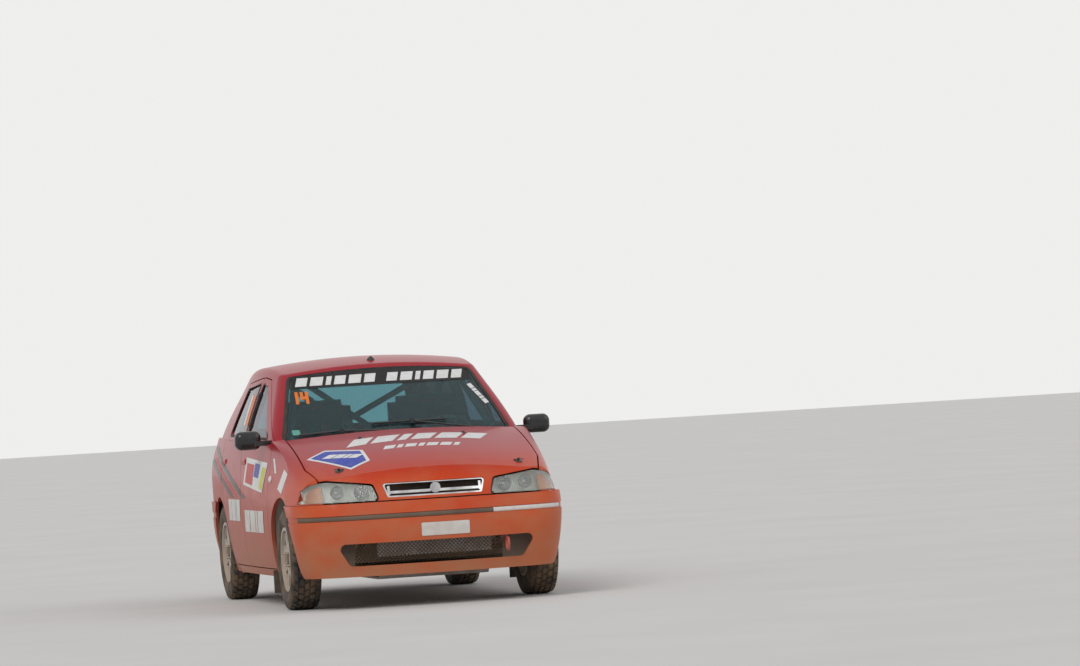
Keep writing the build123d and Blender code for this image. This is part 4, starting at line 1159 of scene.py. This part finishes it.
class RALLY_OT_cabin(RallyOperator):
    """Seat pads, harnesses, dials, pedals and levers"""
    bl_idname = "rally.cabin"
    bl_label = "Cabin fittings"

    # A seat's pads. Columns: name, the middle's place forward and up, half length, half width, thickness,
    # tilt in degrees
    PADS = [("cushion", 0.190, 0.408, 0.150, 0.150, 0.045, 7),
            ("back", -0.125, 0.760, 0.210, 0.135, 0.045, 100),
            ("head", -0.190, 1.110, 0.070, 0.115, 0.040, 97)]
    PAD_STEPS, PAD_PULL, SEAM_DEPTH, SEAM_WIDTH = 16, 0.05, 0.25, 0.07
    PAD_SEAMS = (-0.35, 0.35)
    STRAP_WIDE, STRAP_THICK = 0.048, 0.003
    # Columns: the dial's place from the seat's middle, radius
    DIALS = [(-0.07, 0.042), (0.05, 0.042), (-0.005, 0.018)]

    def execute(self, context):
        for side, sign in SIDES:
            for pad in self.PADS:
                self.add_pad(side, sign, *pad)
            self.add_harness(side, sign)
        self.add_dials()
        self.add_controls()
        return {"FINISHED"}

    def add_pad(self, side, sign, name, x, z, half_long, half_wide, thickness, tilt):
        """A crowned pad with two sewn channels, drawn flat and then tilted into place."""
        steps = self.PAD_STEPS
        mesh = bmesh.new()
        turn = Matrix.Rotation(-math.radians(tilt), 3, "Y")
        middle = Vector((x, sign * SEAT_Y, z))
        layers = []
        for face_side in (1, -1):
            grid = []
            for i in range(steps + 1):
                a = 2 * i / steps - 1
                row = []
                for j in range(steps + 1):
                    b = 2 * j / steps - 1
                    crown = (1 - a ** 4) * (1 - b ** 4)
                    pull = 1 - self.PAD_PULL * (1 - a * a) * abs(b) - self.PAD_PULL * (1 - b * b) * abs(a)
                    seam = self.SEAM_DEPTH * sum(math.exp(-((a - s) / self.SEAM_WIDTH) ** 2)
                                                 for s in self.PAD_SEAMS)
                    rise = face_side * thickness / 2 * (0.25 + 0.75 * crown) * (1 - seam * (face_side > 0))
                    row.append(Vector((a * half_long * pull, b * half_wide * pull, rise)))
                grid.append(row)
            layers.append([[mesh.verts.new(middle + turn @ point) for point in row] for row in grid])
        for layer, flip in zip(layers, (False, True)):
            for i in range(steps):
                for j in range(steps):
                    quad = [layer[i][j], layer[i + 1][j], layer[i + 1][j + 1], layer[i][j + 1]]
                    mesh.faces.new(list(reversed(quad)) if flip else quad)
        upper, lower = layers
        rim = [(0, j) for j in range(steps)] + [(i, steps) for i in range(steps)]
        rim += [(steps, j) for j in range(steps, 0, -1)] + [(i, 0) for i in range(steps, 0, -1)]
        for (i, j), (k, m) in zip(rim, rim[1:] + rim[:1]):
            mesh.faces.new((upper[i][j], upper[k][m], lower[k][m], lower[i][j]))
        cloth = "seat_red" if name == "head" else "seat_cloth"
        pad = add_piece(f"seat_{name}_{side}", mesh, cloth, "chassis", 80)

    def add_harness(self, side, sign):
        straps = bmesh.new()
        for offset in (-0.065, 0.065):
            y = sign * SEAT_Y + offset
            path = [(-0.262, y, 0.925), (-0.200, y, 1.045), (-0.150, y, 1.050), (-0.112, y, 1.000),
                    (-0.085, y - offset * 0.2, 0.850), (-0.045, y - offset * 0.5, 0.640),
                    (0.020, y - offset * 0.8, 0.470)]
            add_ribbon(straps, path, self.STRAP_WIDE, self.STRAP_THICK, (0, 1, 0))
        for edge in (-1, 1):
            y = sign * SEAT_Y
            path = [(-0.085, y + edge * 0.165, 0.455), (-0.030, y + edge * 0.120, 0.470),
                    (0.020, y + edge * 0.060, 0.474), (0.035, y, 0.472)]
            add_ribbon(straps, path, self.STRAP_WIDE, self.STRAP_THICK, (1, 0, 0.4))
        add_piece(f"harness_{side}", straps, "strap_red", "chassis")
        buckle = bmesh.new()
        add_turned(buckle, (0.030, sign * SEAT_Y, 0.476), (-0.2, 0, 1), [(-0.006, 0.0), (-0.006, 0.028),
                   (0.008, 0.028), (0.012, 0.022), (0.012, 0.0)], 28)
        add_piece(f"harness_buckle_{side}", buckle, "worn_steel", "chassis")

    def add_dials(self):
        faces, marks = bmesh.new(), bmesh.new()
        axis = Vector((-1, 0, 0.25)).normalized()
        up = Vector((0, 0, 1)) - axis * axis.z
        for offset, radius in self.DIALS:
            centre = Vector((0.4955, SEAT_Y + offset, 0.945))
            section = [(0.0, 0.0), (0.0, radius), (0.006, radius), (0.006, radius - 0.003),
                       (0.002, radius - 0.004), (0.002, 0.0)]
            add_turned(faces, centre, axis, section, 36)
            for i in range(9):
                turn = math.radians(-130 + 32.5 * i)
                out = Matrix.Rotation(turn, 3, axis) @ up.normalized()
                raised = centre + axis * 0.0035
                add_rod(marks, raised + out * radius * 0.66, raised + out * radius * 0.86, 0.0011, 6)
        add_piece("dial_faces", faces, "gloss_black", "chassis")
        add_piece("dial_marks", marks, "white_film", "chassis")

    def add_controls(self):
        levers = bmesh.new()
        for start, end, knob in (((0.36, 0.02, 0.330), (0.30, 0.03, 0.600), 0.022),
                                 ((0.14, 0.06, 0.330), (0.16, 0.07, 0.640), 0.014)):
            add_rod(levers, start, end, 0.008, 14)
            end = Vector(end)
            add_turned(levers, end, (0, 0, 1), [(-knob, 0.0), (-knob * 0.7, knob * 0.8), (0.0, knob),
                                                (knob * 0.8, knob * 0.7), (knob, 0.0)], 24)
        add_piece("levers", levers, "black_steel", "chassis")
        pedals = bmesh.new()
        for y in (0.22, 0.31, 0.40):
            add_block(pedals, (0.652, y - 0.028, 0.300), (0.660, y + 0.028, 0.375), 0.002,
                      Matrix.Rotation(math.radians(-25), 3, "Y"))
            add_rod(pedals, (0.662, y, 0.345), (0.725, y, 0.600), 0.006, 10)
        add_piece("pedals", pedals, "aluminium", "chassis")
        extinguisher = bmesh.new()
        add_turned(extinguisher, (-0.02, 0.0, 0.395), (1, 0, 0), [(-0.14, 0.0), (-0.14, 0.03), (-0.11, 0.048),
                   (0.11, 0.048), (0.14, 0.03), (0.15, 0.012), (0.19, 0.012), (0.19, 0.0)], 36)
        add_piece("extinguisher", extinguisher, "tow_red", "chassis")


class RALLY_PT_panel(bpy.types.Panel):
    """The car's sizes, colours and pieces"""
    bl_label = "Rally hatchback"
    bl_idname = "RALLY_PT_panel"
    bl_space_type = "VIEW_3D"
    bl_region_type = "UI"
    bl_category = "Rally Car"

    def draw(self, context):
        for name in RallyFinish.__annotations__:
            self.layout.prop(context.scene.rally_finish, name)
        for operator in OPERATORS:
            self.layout.operator(operator.bl_idname)


OPERATORS = (RALLY_OT_stage, RALLY_OT_finish_nodes, RALLY_OT_tyres, RALLY_OT_wheel_details, RALLY_OT_seals,
             RALLY_OT_headlamps, RALLY_OT_grilles, RALLY_OT_livery, RALLY_OT_small_parts, RALLY_OT_cabin)


def register():
    for cls in (RallyFinish, *OPERATORS, RALLY_PT_panel):
        bpy.utils.register_class(cls)
    bpy.types.Scene.rally_finish = PointerProperty(type=RallyFinish)


def unregister():
    del bpy.types.Scene.rally_finish
    for cls in (RALLY_PT_panel, *reversed(OPERATORS), RallyFinish):
        bpy.utils.unregister_class(cls)


def main():
    register()
    for operator in OPERATORS:
        getattr(bpy.ops.rally, operator.bl_idname.split(".")[1])()


if __name__ == "__main__":
    main()
